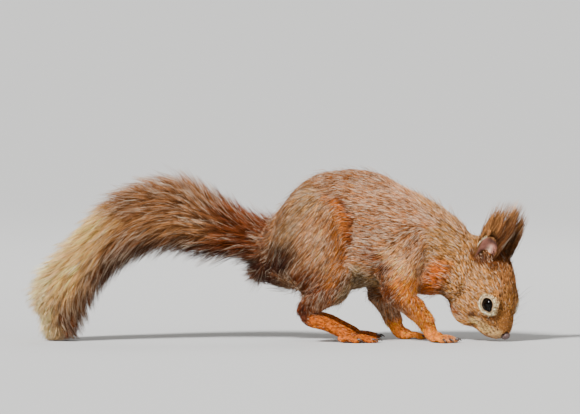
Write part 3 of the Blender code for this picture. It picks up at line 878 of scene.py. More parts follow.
# ---- The solids, as a guide ----
class Solids:
    """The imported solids, to tell which one a place on the skin belongs to."""

    def __init__(self, names: tuple[str, ...]) -> None:
        """Gathers the faces of the solids.

        Args:
            names: Their names, whose order numbers them.
        """
        self.names = names
        points: list[Vector] = []
        faces: list[tuple[int, ...]] = []
        self.owner: list[int] = []
        for number, name in enumerate(names):
            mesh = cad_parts[name].data
            start = len(points)
            points += [vert.co.copy() for vert in mesh.vertices]
            faces += [tuple(start + i for i in face.vertices) for face in mesh.polygons]
            self.owner += [number] * len(mesh.polygons)
        self.tree = BVHTree.FromPolygons(points, faces)

    def nearest(self, places: Array) -> Array:
        """Number of the solid nearest to each place."""
        found = (self.tree.find_nearest(Vector(place)) for place in places * MM)
        return np.array([self.owner[hit[2]] for hit in found])

    def copy(self, name: str) -> Obj:
        """Makes one object with a merged copy of all their meshes.

        Args:
            name: Name of the object.

        Returns:
            The object.
        """
        twins = []
        for node in self.names:
            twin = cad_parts[node].copy()
            twin.data = twin.data.copy()
            twin.parent = None
            for key in list(twin.keys()):
                del twin[key]
            bpy.context.scene.collection.objects.link(twin)
            twins.append(twin)
        whole = join(twins, name)
        whole.data.materials.clear()
        with editing(whole):
            bpy.ops.mesh.select_all(action="SELECT")
            bpy.ops.mesh.remove_doubles(threshold=0.01 * MM)
        return whole


def relaxed(values: Array, obj: Obj, passes: int) -> Array:
    """Averages vertex values with their neighbours', again and again.

    Args:
        values: One number or row for each vertex.
        obj: The object whose edges join the vertices.
        passes: How often.

    Returns:
        The softened values.
    """
    ends = np.empty(len(obj.data.edges) * 2, np.int32)
    obj.data.edges.foreach_get("vertices", ends)
    first, second = ends.reshape(-1, 2).T
    count = len(obj.data.vertices)
    near = np.bincount(first, minlength=count) + np.bincount(second, minlength=count)
    columns = values.reshape(count, -1).astype(float)
    for _ in range(passes):
        total = np.empty_like(columns)
        for k, column in enumerate(columns.T):
            total[:, k] = np.bincount(first, column[second], count)
            total[:, k] += np.bincount(second, column[first], count)
        columns = 0.4 * columns + 0.6 * total / np.maximum(near, 1)[:, None]
    return columns.reshape(values.shape)


def tube(name: str, points: list[tuple[Array, float]]) -> Obj:
    """A round closed tube through places with radii.

    Args:
        name: Name of the object.
        points: Places in the model's frame and radii, in millimetres.

    Returns:
        The tube.
    """
    (start, thick), (following, _) = points[:2]
    (end, thin), (before, _) = points[-1], points[-2]
    back, ahead = unit(start - following), unit(end - before)
    shoulder, shoulder_radius, cap_radius = 0.7, 0.72, 0.15  # rounding of the ends
    whole = [
        (start + back * thick, thick * cap_radius),
        (start + back * thick * shoulder, thick * shoulder_radius),
        *points,
        (end + ahead * thin * shoulder, thin * shoulder_radius),
        (end + ahead * thin, thin * cap_radius),
    ]
    deselect()
    bpy.ops.curve.primitive_bezier_curve_add(enter_editmode=False)
    curve = named(name)
    curve.data.dimensions = "3D"
    curve.data.bevel_depth = 1.0
    curve.data.bevel_resolution = 5
    curve.data.resolution_u = 6
    curve.data.use_fill_caps = True
    spline = curve.data.splines[0]
    spline.bezier_points.add(len(whole) - 2)
    for point, (place, radius) in zip(spline.bezier_points, whole):
        point.co = Vector(place * MM)
        point.radius = radius * MM
        point.handle_left_type = point.handle_right_type = "AUTO"
    activate(curve)
    bpy.ops.object.convert(target="MESH")
    return settle(bpy.context.object)


# ---- Hands and feet ----
@dataclass
class Paw:
    """What hands and feet share: sizes in millimetres, angles in degrees."""

    side: int
    word: str
    head: HeadFrame
    softening: int = 3

    def spot(self, x: float, y: float, z: float) -> Array:
        """A place of the working frame, in the model's frame."""
        return np.array((x, y, z)) + self.head.shift

    @staticmethod
    def turned(x: float, y: float, degrees: float) -> Array:
        """The floor vector (x, y) turned about the vertical."""
        c, s = math.cos(math.radians(degrees)), math.sin(math.radians(degrees))
        return np.array((x * c - y * s, x * s + y * c, 0))

    @staticmethod
    def digit(root: Array, tip: Array, thick: float, thin: float) -> Obj:
        """A finger or toe with a raised knuckle and a pad at its tip."""
        bend = root * 0.45 + tip * 0.55 + (0, 0, 1.1)
        return tube("digit", [(root, thick), (bend, thick * 0.86), (tip, thin)])

    @staticmethod
    def claw(tip: Array, ahead: Array, length: float) -> Obj:
        """A hooked claw that grows out of the end of a digit.

        Args:
            tip: End of the digit.
            ahead: Direction of the digit.
            length: Length of the claw.

        Returns:
            The claw.
        """
        up = np.array((0, 0, 1))
        root = tip - ahead * 0.6 + up * 0.55
        middle = tip + ahead * length * 0.5 + up * 0.95
        end = tip + ahead * (length * 0.94) - up * 0.35
        return tube("claw", [(root, 0.85), (middle, 0.62), (end, 0.16)])

    def armed(
        self, root: Array, ahead: Array, reach: float, height: float, sizes: tuple[float, ...]
    ) -> tuple[Obj, Obj]:
        """A finger or toe that comes down to the floor, with its claw.

        Args:
            root: Its root.
            ahead: Its direction.
            reach: Its length.
            height: Height of its tip over the floor.
            sizes: Radius at its root and at its tip, and length of the claw.

        Returns:
            The digit and the claw.
        """
        thick, thin, claw_length = sizes
        tip = root + ahead * reach
        tip[2] = height
        return self.digit(root - ahead * 2, tip, thick, thin), self.claw(tip, ahead, claw_length)


@dataclass
class Hand(Paw):
    """A hand: palm, four fingers and a thumb stub, flat on the floor."""

    elbow_x: float = 77.5
    elbow_height: float = 36.0
    wrist_x: float = 98.3
    wrist_out: float = 16.5
    wrist_height: float = 13.0
    knuckle_height: float = 3.3
    turn: float = -36.0
    fan: float = 13  # between neighbouring fingers
    gap: float = 2.9  # between the roots of neighbouring fingers
    fingers: tuple = ((-1.5, 8.8), (-0.5, 10.6), (0.5, 10.8), (1.5, 9.2))  # place across, length
    finger_height: float = 1.5
    grain: float = 0.42
    finger_sizes: tuple[float, float, float] = (1.85, 1.4, 4.2)

    def build(self) -> tuple[Obj, list[Obj]]:
        """Builds the hand.

        Returns:
            Its skin and its claws.
        """
        slope = (self.wrist_x - self.elbow_x, 0, self.wrist_height - self.elbow_height)
        slope = unit(np.array(slope))
        wrist = self.spot(self.wrist_x, self.side * self.wrist_out, self.wrist_height)
        palm = wrist + self.turned(4.6, 0, self.turn) - (0, 0, 8.0)
        drop = self.wrist_height - self.knuckle_height
        knuckles = wrist + self.turned(9.5, 0, self.turn) - (0, 0, drop)
        arm = [(wrist - slope * 12, 5.0), (wrist, 4.6), (palm, 4.1), (knuckles, 3.2)]
        flesh, claws = [tube("palm", arm)], []
        for across, reach in self.fingers:
            root = knuckles + self.turned(0, across * self.gap, self.turn) - (0, 0, 0.7)
            ahead = self.turned(1, 0, self.turn + across * self.fan)
            made = self.armed(root, ahead, reach, self.finger_height, self.finger_sizes)
            flesh.append(made[0])
            claws.append(made[1])
        thumb = knuckles + self.turned(-3.5, -self.side * 4.2, self.turn) - (0, 0, 1.2)
        flesh.append(tube("thumb", [(thumb + (0, 0, 2), 1.6), (thumb, 1.4)]))
        return remesh(join(flesh, "hand_flesh_" + self.word), self.grain, self.softening), claws


@dataclass
class Foot(Paw):
    """A hind foot with its heel off the floor and five toes."""

    heel_x: float = 18.8
    ankle_out: float = 19.0
    heel_height: float = 19.5
    knuckle_height: float = 4.0
    splay: float = 7
    fan: float = 9  # between neighbouring toes
    gap: float = 2.7  # between the roots of neighbouring toes
    # place across, start before or behind the knuckles, and length of each toe
    toes: tuple = ((-2, -5.0, 9.5), (-1, 0, 13.5), (0, 1.0, 14.8), (1, 0, 13.5), (2, -4.0, 10.0))
    toe_height: float = 1.55
    grain: float = 0.45
    toe_sizes: tuple[float, float, float] = (2.0, 1.45, 4.8)

    def build(self) -> tuple[Obj, list[Obj]]:
        """Builds the foot.

        Returns:
            Its skin and its claws.
        """
        turn = self.side * self.splay
        heel = self.spot(self.heel_x, self.side * self.ankle_out, self.heel_height)
        arch = heel + self.turned(15.5, 0, turn) - (0, 0, 8.2)
        drop = self.heel_height - self.knuckle_height
        knuckles = heel + self.turned(30.5, 0, turn) - (0, 0, drop)
        aside = self.turned(0, 1.6, turn)
        flesh = [
            tube("sole", [(heel + (7.0, 0, 7.0), 5.2), (heel, 4.6), (arch, 4.1), (knuckles, 3.5)]),
            tube("outer_sole", [(arch + aside, 3.2), (knuckles + aside * 2, 2.8)]),
            tube("inner_sole", [(arch - aside, 3.2), (knuckles - aside * 2, 2.8)]),
        ]
        claws = []
        for across, start, reach in self.toes:
            root = knuckles + self.turned(start, across * self.gap, turn) - (0, 0, 1.2)
            ahead = self.turned(1, 0, turn + across * self.fan)
            made = self.armed(root, ahead, reach, self.toe_height, self.toe_sizes)
            flesh.append(made[0])
            claws.append(made[1])
        return remesh(join(flesh, "foot_flesh_" + self.word), self.grain, self.softening), claws


WHISKER_FRONT = 55.6  # how far along the head the foremost whisker stands
WHISKER_STEP = 2.3  # from one whisker of a row to the next


def whisker_roots() -> list[tuple[float, float, float]]:
    """Roots of the whiskers on the muzzle: along the head, height and out to its left."""
    rows = ((-1.5, 4), (-4.2, 5), (-7.0, 5), (-9.6, 4))  # height of a row, and whiskers in it
    return [
        (WHISKER_FRONT - WHISKER_STEP * k - 0.3 * row, height, side * (5.4 + 0.9 * k))
        for side, _ in SIDES
        for row, (height, number) in enumerate(rows)
        for k in range(number)
    ]


# ---- The skin ----
FLESH = (
    *("head", "muzzle", "neck", "chest", "belly", "rump"),
    *(f"{part}_{word}" for _, word in SIDES for part in ("upper_arm", "forearm", "thigh", "shank")),
)
EYES = ("eye_right", "eye_left")
PAWS = tuple(f"{part}_{word}" for _, word in SIDES for part in ("hand", "foot"))


def growth_of(node: str) -> Growth:
    """The coat's growth on a named solid."""
    return GROWTHS[node.replace("_right", "").replace("_left", "")]


@dataclass
class Skin:
    """The one skin: trunk, head, legs and the thin tail, with paws grown on."""

    head: HeadFrame
    solids: Solids
    grain: float = 1.05
    softening: int = 5
    swell: float = 0.4  # closes the gaps between solids before they melt together
    # passes that blend the coat's depth, its growth and the head's share across the solids
    blend_depth: int = 12
    blend_growth: int = 14
    blend_head: int = 10
    # x, z and radius of the thin tail at each station
    tail_core: tuple = (
        (8, 64, 15), (-3, 64, 12.5), (-14, 66, 9.5), (-27, 71, 7.0), (-46, 77, 5.6), (-68, 83, 5.0),
        (-90, 80.5, 4.6), (-109, 70, 4.2), (-125, 54, 3.7), (-138, 38, 3.0), (-144, 24, 2.2),
    )
    opening: float = 4.05  # radius of the eye's opening
    lid: float = 0.45  # thickness of the lid over the eyeball
    lid_reach: float = 5.2  # how far outside the opening the lids are shaped
    lid_zone: float = 10.5  # no place farther from the gaze line is moved
    obj: Obj = field(init=False)

    def build(self, paws: list[Obj]) -> Obj:
        """Builds the skin and joins the paws to it.

        Args:
            paws: Skins of hands and feet.

        Returns:
            The skin.
        """
        shell = self.solids.copy("skin")
        swell = shell.modifiers.new("Swell", "DISPLACE")
        swell.mid_level = 0
        swell.strength = self.swell * MM
        remesh(shell, self.grain, self.softening)
        places = places_of(shell)
        numbers = self.solids.nearest(places)
        depths = np.array([growth_of(name).depth for name in self.solids.names])[numbers]
        depths = relaxed(depths, shell, self.blend_depth)
        put_places(shell, places - normals_of(shell) * (depths + self.swell)[:, None])
        core = [(np.array((x, 0, z)) + self.head.shift, radius) for x, z, radius in self.tail_core]
        whole = join([shell, tube("tail_core", core)], "skin")
        self.obj = remesh(whole, self.grain, self.softening)
        self.refine()
        self.sculpt()
        self.obj = smoothed(join([self.obj, *paws], "skin"))
        return self.obj

    def refine(self) -> None:
        """Divides the mesh finely round the eyes, nose and mouth."""
        spots = [(self.eye_centre(side), 10.0, 2) for side, _ in SIDES]
        spots.append((self.head.place(54, -6, 0), 12.0, 1))
        for centre, reach, cuts in spots:
            with editing(self.obj):
                bpy.ops.mesh.select_all(action="DESELECT")
            near = np.linalg.norm(places_of(self.obj) - centre, axis=1) < reach
            self.obj.data.vertices.foreach_set("select", near)
            with editing(self.obj):
                bpy.ops.mesh.select_mode(type="VERT")
                bpy.ops.mesh.subdivide(number_cuts=cuts, smoothness=0.0)

    def eye_centre(self, side: int) -> Array:
        """Middle of an eyeball."""
        along, height, out = self.head.eye
        return self.head.place(along, height, side * out)

    def eye_ring(self, places: Array, side: int) -> tuple[Array, Array, Array]:
        """Where places are round an eye.

        Args:
            places: Places in the model's frame.
            side: The eye's side.

        Returns:
            Height along the gaze, distance from the gaze line, and how far each place lies
            outside the opening, whose corner points to the nose.
        """
        offset = places - self.eye_centre(side)
        gaze = self.head.leftward * side
        height = offset @ gaze
        flat = offset - height[:, None] * gaze
        distance = np.linalg.norm(flat, axis=1)
        forward = unit(flat) @ self.head.noseward
        corner = 0.9 * ramp(forward, 0.86, 1.0) + 0.3 * ramp(-forward, 0.88, 1.0)
        return height, distance, distance - self.opening - corner

    def sculpt(self) -> None:
        """Shapes lip, mouth, the crease before the eye, the nose's cleft and the lids."""
        places = places_of(self.obj)
        read = self.head.read(places)
        read[:, 2] = np.abs(read[:, 2])

        def groove(start: tuple, end: tuple, width: float) -> Array:
            """Closeness to a line on both sides of the head."""
            return bell(off_line(read, start, end), 0, width)

        lip = groove((57.5, -9.5, 0.5), (49, -11.5, 8.0), 0.9)
        lip = np.maximum(lip, groove((49, -11.5, 8.0), (43, -15, 10.5), 1.1))
        crease = groove((46, -2.5, 11.5), (37, -17.5, 13), 1.5)
        cleft = groove((61, -4.5, 0), (57.5, -9.5, 0), 0.8)
        places -= normals_of(self.obj) * (lip + 0.6 * crease + 0.7 * cleft)[:, None]
        for side, _ in SIDES:
            self.shape_lids(places, side)
        put_places(self.obj, places)

    def shape_lids(self, places: Array, side: int) -> None:
        """Moves the skin round an eye into lids over the eyeball.

        Args:
            places: Places of the skin's vertices, which it changes.
            side: The eye's side.
        """
        gaze = self.head.leftward * side
        radius, over = self.head.eye_radius, self.head.eye_radius + self.lid
        height, distance, outside = self.eye_ring(places, side)
        active = (height > -2.0) & (distance < self.lid_zone)
        on_rim = active & (np.abs(outside) < 0.22)
        flat = places - self.eye_centre(side) - height[:, None] * gaze
        places[on_rim] -= (unit(flat) * outside[:, None])[on_rim]
        height, distance, outside = self.eye_ring(places, side)
        ball = np.sqrt(np.maximum(radius**2 - distance**2, 0))
        lid = np.sqrt(np.maximum(over**2 - distance**2, 0))
        share = ramp(outside, -0.6, self.lid_reach)
        edge = math.sqrt(over**2 - self.opening**2)
        ring = np.maximum(lid, edge * (1 - share) + height * share)
        ring = ring + 0.3 * (bell(outside, 0.8, 0.6) - bell(outside, 2.5, 0.6))
        wanted = np.where(outside < self.lid_reach, ring, height)
        wanted = np.where(outside < -0.02, np.minimum(height, ball - 1.0), wanted)
        places[active] += ((wanted - height)[:, None] * gaze)[active]

    def fields(self) -> Fields:
        """Works out how the coat grows at each vertex, and paints the skin with its markings darkened
        as painted shade.

        Returns:
            The fields.
        """
        places, normals = places_of(self.obj), normals_of(self.obj)
        work, read = self.head.work(places), self.head.read(places)
        every = Solids((*FLESH, *PAWS))
        solid = every.nearest(places)
        plan = np.array([self.plan_row(name) for name in every.names])[solid]
        on_head = np.isin(solid, [every.names.index(name) for name in ("head", "muzzle")])
        plan[:, 5] *= np.sign(work[:, 1]) * ramp(np.abs(work[:, 1]), 0, 10)
        plan[on_head, 4:] = -self.head.noseward - 0.25 * self.head.crownward
        plan = relaxed(plan, self.obj, self.blend_growth)
        depth, lie = np.clip(plan[:, 0], 0.25, 6), plan[:, 4:]
        for side, _ in SIDES:
            lie = self.round_eye(places, lie, side)
        lie = unit(flattened(lie, normals))
        head_share = relaxed(on_head.astype(float), self.obj, self.blend_head)
        marks = self.marks(places, normals, head_share)
        muzzle = 1 - 0.45 * ramp(read[:, 0], 40, 58) * head_share
        marks["length"] = plan[:, 1] * marks["length"] * muzzle
        marks["share"] = plan[:, 3]
        for side, _ in SIDES:
            self.mark_eye(marks, places, side)
        for root in whisker_roots():
            near = np.linalg.norm(read[:, :2] - root[:2], axis=1) + 9.0 * (read[:, 2] * root[2] < 10)
            dot = 0.9 * (1 - ramp(near, 0.45, 1.05))
            marks["colour"] = stained(marks["colour"], Tint.CREASE.linear, dot)
        for side, _ in SIDES:
            ear_mouth = self.head.place(10.5, 15.5, side * 15)
            close = 1 - ramp(np.linalg.norm(places - ear_mouth, axis=1), 4.0, 8.0)
            marks["share"] = marks["share"] * (1 - 0.97 * close)
            marks["length"] = marks["length"] * (1 - 0.6 * close)
        on_nose = np.linalg.norm(read - (60.5, -2.0, 0), axis=1) < 3.4
        on_tail = ((work >= (-170, -30, 0)) & (work <= (-12, 30, 120))).all(axis=1)
        share = np.where(on_nose | on_tail, 0, marks["share"])
        bare = ramp(work[:, 0], 106, 112) * (1 - ramp(work[:, 2], 3, 6))
        colour = stained(marks["colour"], Tint.KNUCKLE.linear, bare * 0.5)
        # the skin takes the coat's markings darkened, as painted shade under the fur, most where the
        # coat is full
        paint(self.obj, colour * (0.45 + 0.4 * (depth < 1.4))[:, None])
        return Fields(
            places, normals, depth, marks["length"], plan[:, 2], share, lie, colour,
            marks["pale"], marks["dark"], marks["lift"], solid,
        )

    def marks(self, places: Array, normals: Array, head_share: Array) -> dict[str, Array]:
        """Markings of body and face, blended at the neck, with the pale belly.

        Args:
            places: Places of the skin's vertices.
            normals: Their normals.
            head_share: 1 on the head, 0 on the body.

        Returns:
            Arrays colour, pale, dark, length and lift.
        """
        work = self.head.work(places)
        marks = marked(places, self.head, BODY_PATCHES, Tint.BACK)
        face = marked(places, self.head, HEAD_PATCHES, Tint.CHEEK)
        for key, values in face.items():
            spread = head_share[:, None] if values.ndim == 2 else head_share
            marks[key] = marks[key] * (1 - spread) + values * spread
        under = ramp(-normals[:, 2], 0.35, 0.8) * ramp(work[:, 2], 26, 30) * (1 - head_share)
        under = under * ramp(work[:, 0], 5, 30) * (1 - ramp(work[:, 0], 86, 104))
        marks["colour"] = stained(marks["colour"], Tint.BELLY.linear, under)
        return marks

    def mark_eye(self, marks: dict[str, Array], places: Array, side: int) -> None:
        """Adds an eye's pale ring, the line over it and the lid's rim, and shortens the fur there.

        Args:
            marks: Markings with length and share, which it changes.
            places: Places of the skin's vertices.
            side: The eye's side.
        """
        height, _, outside = self.eye_ring(places, side)
        front = height > -1
        above = (places - self.eye_centre(side)) @ self.head.crownward
        ring = ramp(outside, 0.3, 0.6) * (1 - ramp(outside, 1.5, 2.6))
        line = bell(outside, 1.7, 0.45) * 0.7 * ramp(above, 0.5, 3.5)
        rim = 1 - ramp(outside, 0.12, 0.4)
        for tint, share in ((Tint.EYE_RING, ring), (Tint.NOSE_BRIDGE, line), (Tint.LID, rim)):
            marks["colour"] = stained(marks["colour"], tint.linear, share * front)
        close = (1 - ramp(outside, 0.6, 5.0)) * front
        covered = ~front | (outside >= 0.7)
        for key, change in (("length", -0.6), ("share", 0.8), ("pale", -1), ("dark", -1)):
            marks[key] = marks[key] * (1 + change * close)
        marks["share"] = marks["share"] * covered

    @staticmethod
    def plan_row(name: str) -> tuple[float, ...]:
        """Depth, length, width, share and lie of the coat on a solid."""
        growth = growth_of(name)
        return (growth.depth, growth.length, growth.width, growth.share, *growth.lie)

    def round_eye(self, places: Array, lie: Array, side: int) -> Array:
        """Turns the lie of the fur aside, so that none points over the eye.

        Args:
            places: Places of the skin's vertices.
            lie: The lie at each.
            side: The eye's side.

        Returns:
            The changed lie.
        """
        height, _, outside = self.eye_ring(places, side)
        flat = unit(flattened(places - self.eye_centre(side), self.head.leftward))
        pull = np.where(height > -1, 1 - ramp(outside, 1.5, 6.0), 0)
        inward = np.minimum((lie * flat).sum(axis=1) - 0.35, 0) * pull
        return lie - inward[:, None] * flat


# ---- Tufts ----
GROUND = 0.05  # no edge of a tuft or claw comes lower
HAIR_GROUND = 0.25  # no middle of a tuft comes lower


@dataclass
class Tufts:
    """Many tufts as arrays: each a thin closed spindle through a root, one or more bends and a tip.

    Places are in millimetres in the model's frame. Colours run from root to tip.
    """

    stations: Array  # tufts, stations, 3
    outward: Array  # tufts, 3
    width: Array  # tufts
    colours: Array  # tufts, stations, 3
    unwrap: Array  # tufts, 2
    taper: tuple[float, ...] = (1.0,)  # width of each bend as a share of the full width
    patch: float = 0.0015  # half the size of a tuft's patch on the unwrap
    flatness: float = 0.6  # thickness of a tuft as a share of its width

    @staticmethod
    def faces(bends: int) -> Array:
        """Triangles of one tuft: a cap at its root, walls between its bends and a cap at its tip.

        Args:
            bends: Number of bends, each with three vertices.

        Returns:
            Rows of three vertex numbers.
        """
        around = [(k, (k + 1) % 3) for k in range(3)]
        last, tip = 1 + 3 * (bends - 1), 1 + 3 * bends
        out = [(0, 1 + j, 1 + k) for k, j in around]
        for a in range(1, last, 3):
            for k, j in around:
                out += [(a + k, a + j, a + 3 + j), (a + k, a + 3 + j, a + 3 + k)]
        return np.array(out + [(tip, last + k, last + j) for k, j in around])

    def write(self, name: str) -> Obj:
        """Makes one mesh of all the tufts.

        Args:
            name: Name of the object.

        Returns:
            The object.
        """
        count, rows = self.stations.shape[:2]
        bends = rows - 2
        stations = self.stations.copy()
        stations[..., 2] = np.maximum(stations[..., 2], HAIR_GROUND)
        along = unit(stations[:, -1] - stations[:, 0])
        aside = unit(np.cross(along, self.outward))
        upward = np.cross(aside, along)
        per = 2 + 3 * bends
        points = np.empty((count, per, 3))
        tints = np.empty((count, per, 3))
        spread = np.zeros((per, 2))
        for end, sign in ((0, -1), (-1, 1)):
            points[:, end], tints[:, end] = stations[:, end], self.colours[:, end]
            spread[end] = (sign, 0)
        for bend in range(bends):
            half = (self.width * self.taper[bend] / 2)[:, None]
            for k, angle in enumerate((90, 210, 330)):
                a = math.radians(angle)
                corner = 1 + 3 * bend + k
                offset = aside * math.cos(a) * half + upward * math.sin(a) * half * self.flatness
                points[:, corner] = stations[:, bend + 1] + offset
                tints[:, corner] = self.colours[:, bend + 1]
                spread[corner] = (-1 + 2 * (bend + 1) / (bends + 1), (0, -1, 1)[k])
        points[..., 2] = np.maximum(points[..., 2], GROUND)
        corners = (self.faces(bends)[None] + per * np.arange(count)[:, None, None]).reshape(-1)
        centre = self.unwrap * (1 - 8 * self.patch) + 4 * self.patch
        uv = (centre[:, None, :] + spread[None] * self.patch).reshape(-1, 2)[corners]
        mesh = bpy.data.meshes.new(name)
        mesh.vertices.add(count * per)
        mesh.vertices.foreach_set("co", (points * MM).astype(np.float32).ravel())
        mesh.loops.add(len(corners))
        mesh.loops.foreach_set("vertex_index", corners.astype(np.int32))
        mesh.polygons.add(len(corners) // 3)
        mesh.polygons.foreach_set("loop_start", np.arange(0, len(corners), 3, dtype=np.int32))
        mesh.update(calc_edges=True)
        mesh.polygons.foreach_set("use_smooth", np.ones(len(corners) // 3, bool))
        layer = mesh.uv_layers.new(name=UNWRAP)
        layer.data.foreach_set("uv", uv.astype(np.float32).ravel())
        obj = lay(name, mesh)
        paint(obj, tints.reshape(-1, 3))
        return obj


@dataclass(frozen=True)
class Locks:
    """Tufts that stand together: each tuft's lock, and the way from its tip to the lock's tip."""

    number: Array
    pull: Array

    @staticmethod
    def find(places: Array, each: int, rng: np.random.Generator) -> "Locks":
        """Groups places round places drawn from them.

        Args:
            places: Where the tufts are grouped, such as their tips.
            each: Tufts in a lock.
            rng: Source of the draw.

        Returns:
            The locks.
        """
        middles = places[rng.choice(len(places), max(len(places) // each, 1), replace=False)]
        tree = KDTree(len(middles))
        for i, middle in enumerate(middles):
            tree.insert(Vector(middle), i)
        tree.balance()
        number = np.array([tree.find(Vector(place))[1] for place in places])
        return Locks(number, middles[number] - places)

    def drawn(self, strength: float, farthest: float) -> Array:
        """The tips' move into their locks, by this share of the way and no farther than this."""
        move = self.pull * strength
        size = np.linalg.norm(move, axis=1, keepdims=True)
        return move * np.minimum(1, farthest / np.maximum(size, 1e-6))

    def shared(self, values: Array, rng: np.random.Generator, share: float) -> Array:
        """Values drawn for each tuft, of which this share is replaced by one value for the lock."""
        return np.where(rng.random(len(values)) < share, values[self.number % len(values)], values)


def streaked(
    marks: tuple[Array, Array, Array],
    light: Tint,
    shades: tuple[float, ...],
    locks: Locks,
    rng: np.random.Generator,
    alike: tuple[float, float],
) -> Array:
    """Colours of tufts from root to tip, some with silvery and some with dark ends; the silvery ends
    are the hair's own pale tips and painted glints of sheen.

    Args:
        marks: Colour of the markings at each tuft, share of pale ends and share of dark ends.
        light: Tint of the pale ends.
        shades: Brightness at each station from root to tip; the dark roots are painted shade within the
            coat.
        locks: Locks, whose tufts mostly look alike.
        rng: Source of the variation.
        alike: Spread of the locks' brightness, and share of tufts with ends like their lock's.

    Returns:
        Colour at each station of each tuft.
    """
    colour, pale, dark = marks
    count = len(colour)
    own = rng.normal(0, 0.34, count)
    value = np.exp(own + locks.shared(rng.normal(0, alike[0], count), rng, 0.9))
    out = (colour * value[:, None])[:, None, :] * np.array(shades)[None, :, None]
    dice = locks.shared(rng.random(count), rng, alike[1])
    silver = (dice < pale) * rng.uniform(0.45, 1.0, count)
    dusk = (dice > 1 - dark) * rng.uniform(0.5, 1.0, count)
    # the pale ends: the hair's own pale tips and painted glints of sheen
    pale_tip_and_glint = light.linear * 0.8 + colour * 0.25
    brown = Tint.DUSK.linear * 0.5 + colour * 0.2
    ends = np.linspace(0, 1, len(shades)) ** 0.6
    for share, tint in ((silver, pale_tip_and_glint), (dusk, brown)):
        out += (share[:, None] * ends)[..., None] * (tint[:, None, :] - out)
    return np.clip(out, 0.003, 0.95)


@dataclass
class BodyCoat:
    """Short fur that follows the skin."""

    skin: Skin
    fields: Fields
    thin_out: float = 1.0  # share of the tufts that is grown
    shades: tuple[float, ...] = (0.2, 0.92, 1.15)  # from root to tip; the dark root is painted shade within the coat
    alike: tuple[float, float] = (0.3, 0.75)
    long_fur: float = 5  # where it stands in locks of three, and shorter fur in twos
    rooted: float = 0.4  # depth of the roots under the skin

    def __post_init__(self) -> None:
        """Prepares the skin's triangles and the search for near skin."""
        mesh = self.skin.obj.data
        mesh.calc_loop_triangles()
        corners = np.empty(len(mesh.loop_triangles) * 3, np.int32)
        mesh.loop_triangles.foreach_get("vertices", corners)
        self.corners = corners.reshape(-1, 3)
        a, b, c = (self.fields.places[self.corners[:, k]] for k in range(3))
        area = np.linalg.norm(np.cross(b - a, c - a), axis=1) / 2
        self.weight = area * self.fields.share[self.corners].min(axis=1)
        self.tree = KDTree(int((self.fields.share > 0).sum()))
        for i in np.flatnonzero(self.fields.share > 0):
            self.tree.insert(Vector(self.fields.places[i]), int(i))
        self.tree.balance()

    def grow(self, name: str, nodes: tuple[str, ...], slot: str, seed: int, axis: int) -> Obj:
        """Grows the fur of some solids as one piece.

        Args:
            name: Name of the piece.
            nodes: Solids whose fur it is.
            slot: Not used.
            seed: Seed of the variation.
            axis: Axis along which the skin is unwrapped, 0, 1 or 2.

        Returns:
            The piece.
        """
        rng = np.random.default_rng(seed)
        every = (*FLESH, *PAWS)
        mine = np.isin(self.fields.solid[self.corners[:, 0]], [every.index(node) for node in nodes])
        weight = self.weight * mine
        count = int(weight.sum() * self.thin_out)
        chosen = rng.choice(len(weight), count, p=weight / weight.sum())
        mix = rng.dirichlet((1, 1, 1), count)
        at = self.fields.at(self.corners[chosen], mix)
        locks = Locks.find(at.places, 3 if at.length.mean() > self.long_fur else 2, rng)
        stations, outward, stray = self.paths(at, locks, rng)
        marks = (at.colour, at.pale, at.dark)
        colours = streaked(marks, Tint.SILVER, self.shades, locks, rng, self.alike)
        width = at.width * rng.uniform(0.7, 1.25, count) * np.where(stray, 0.65, 1.0)
        tufts = Tufts(stations, outward, width, colours, self.unwrap(at.places, axis))
        return dress(tufts.write(name), HAIR, nodes)

    def paths(
        self, at: Fields, locks: Locks, rng: np.random.Generator
    ) -> tuple[Array, Array, Array]:
        """Lays the tufts along the skin.

        Args:
            at: Fields at their roots.
            locks: Locks that they stand in.
            rng: Source of the variation.

        Returns:
            Root, bend and tip of each, the outward direction, and which tufts stray.
        """
        count = len(at.places)
        normal = unit(at.normals)
        lie = unit(at.lie + rng.normal(0, 0.09, (count, 3)))
        lie = unit(flattened(lie, normal))
        length = at.length * rng.uniform(0.7, 1.2, count)
        rise = at.depth * at.lift * rng.uniform(0.6, 1.06, count)
        rise = np.minimum(rise, length * 0.8)
        run = np.sqrt(np.maximum(length**2 - rise**2, 0.2))
        stray = (rng.random(count) < 0.02 * at.lift**2) & (at.depth > 1.2)
        rise = np.where(stray, rise * 1.7 + 1.2, rise)
        run = np.where(stray, run * 1.2, run)
        bend = self.follow(at.places + lie * (run * 0.45)[:, None], rise * 0.66)
        tip = self.follow(at.places + lie * run[:, None], rise)
        pull = flattened(locks.drawn(0.4, 0.9), normal)
        stations = [at.places - normal * self.rooted, bend + pull * 0.35, tip + pull]
        return np.stack(stations, axis=1), normal, stray

    def follow(self, places: Array, heights: Array) -> Array:
        """Moves places up or down to follow the nearest skin.

        Args:
            places: The places.
            heights: Height of each above the skin.

        Returns:
            The moved places.
        """
        nearest = np.array([self.tree.find(Vector(place))[1] for place in places])
        base, normal = self.fields.places[nearest], self.fields.normals[nearest]
        off = ((places - base) * normal).sum(axis=1)
        return places + normal * (heights - np.clip(off, -6, 6))[:, None]

    @staticmethod
    def unwrap(places: Array, axis: int) -> Array:
        """Unrolls places round an axis through their middle.

        Args:
            places: The places.
            axis: The axis, 0, 1 or 2.

        Returns:
            For each, how far along the axis and how far round it, from 0 to 1.
        """
        low, high = places[:, axis].min(), places[:, axis].max()
        offset = places - np.median(places, axis=0)
        first, second = [k for k in range(3) if k != axis]
        angle = np.arctan2(offset[:, second], offset[:, first])
        return np.stack([(places[:, axis] - low) / (high - low), round_angle(angle)], axis=1)


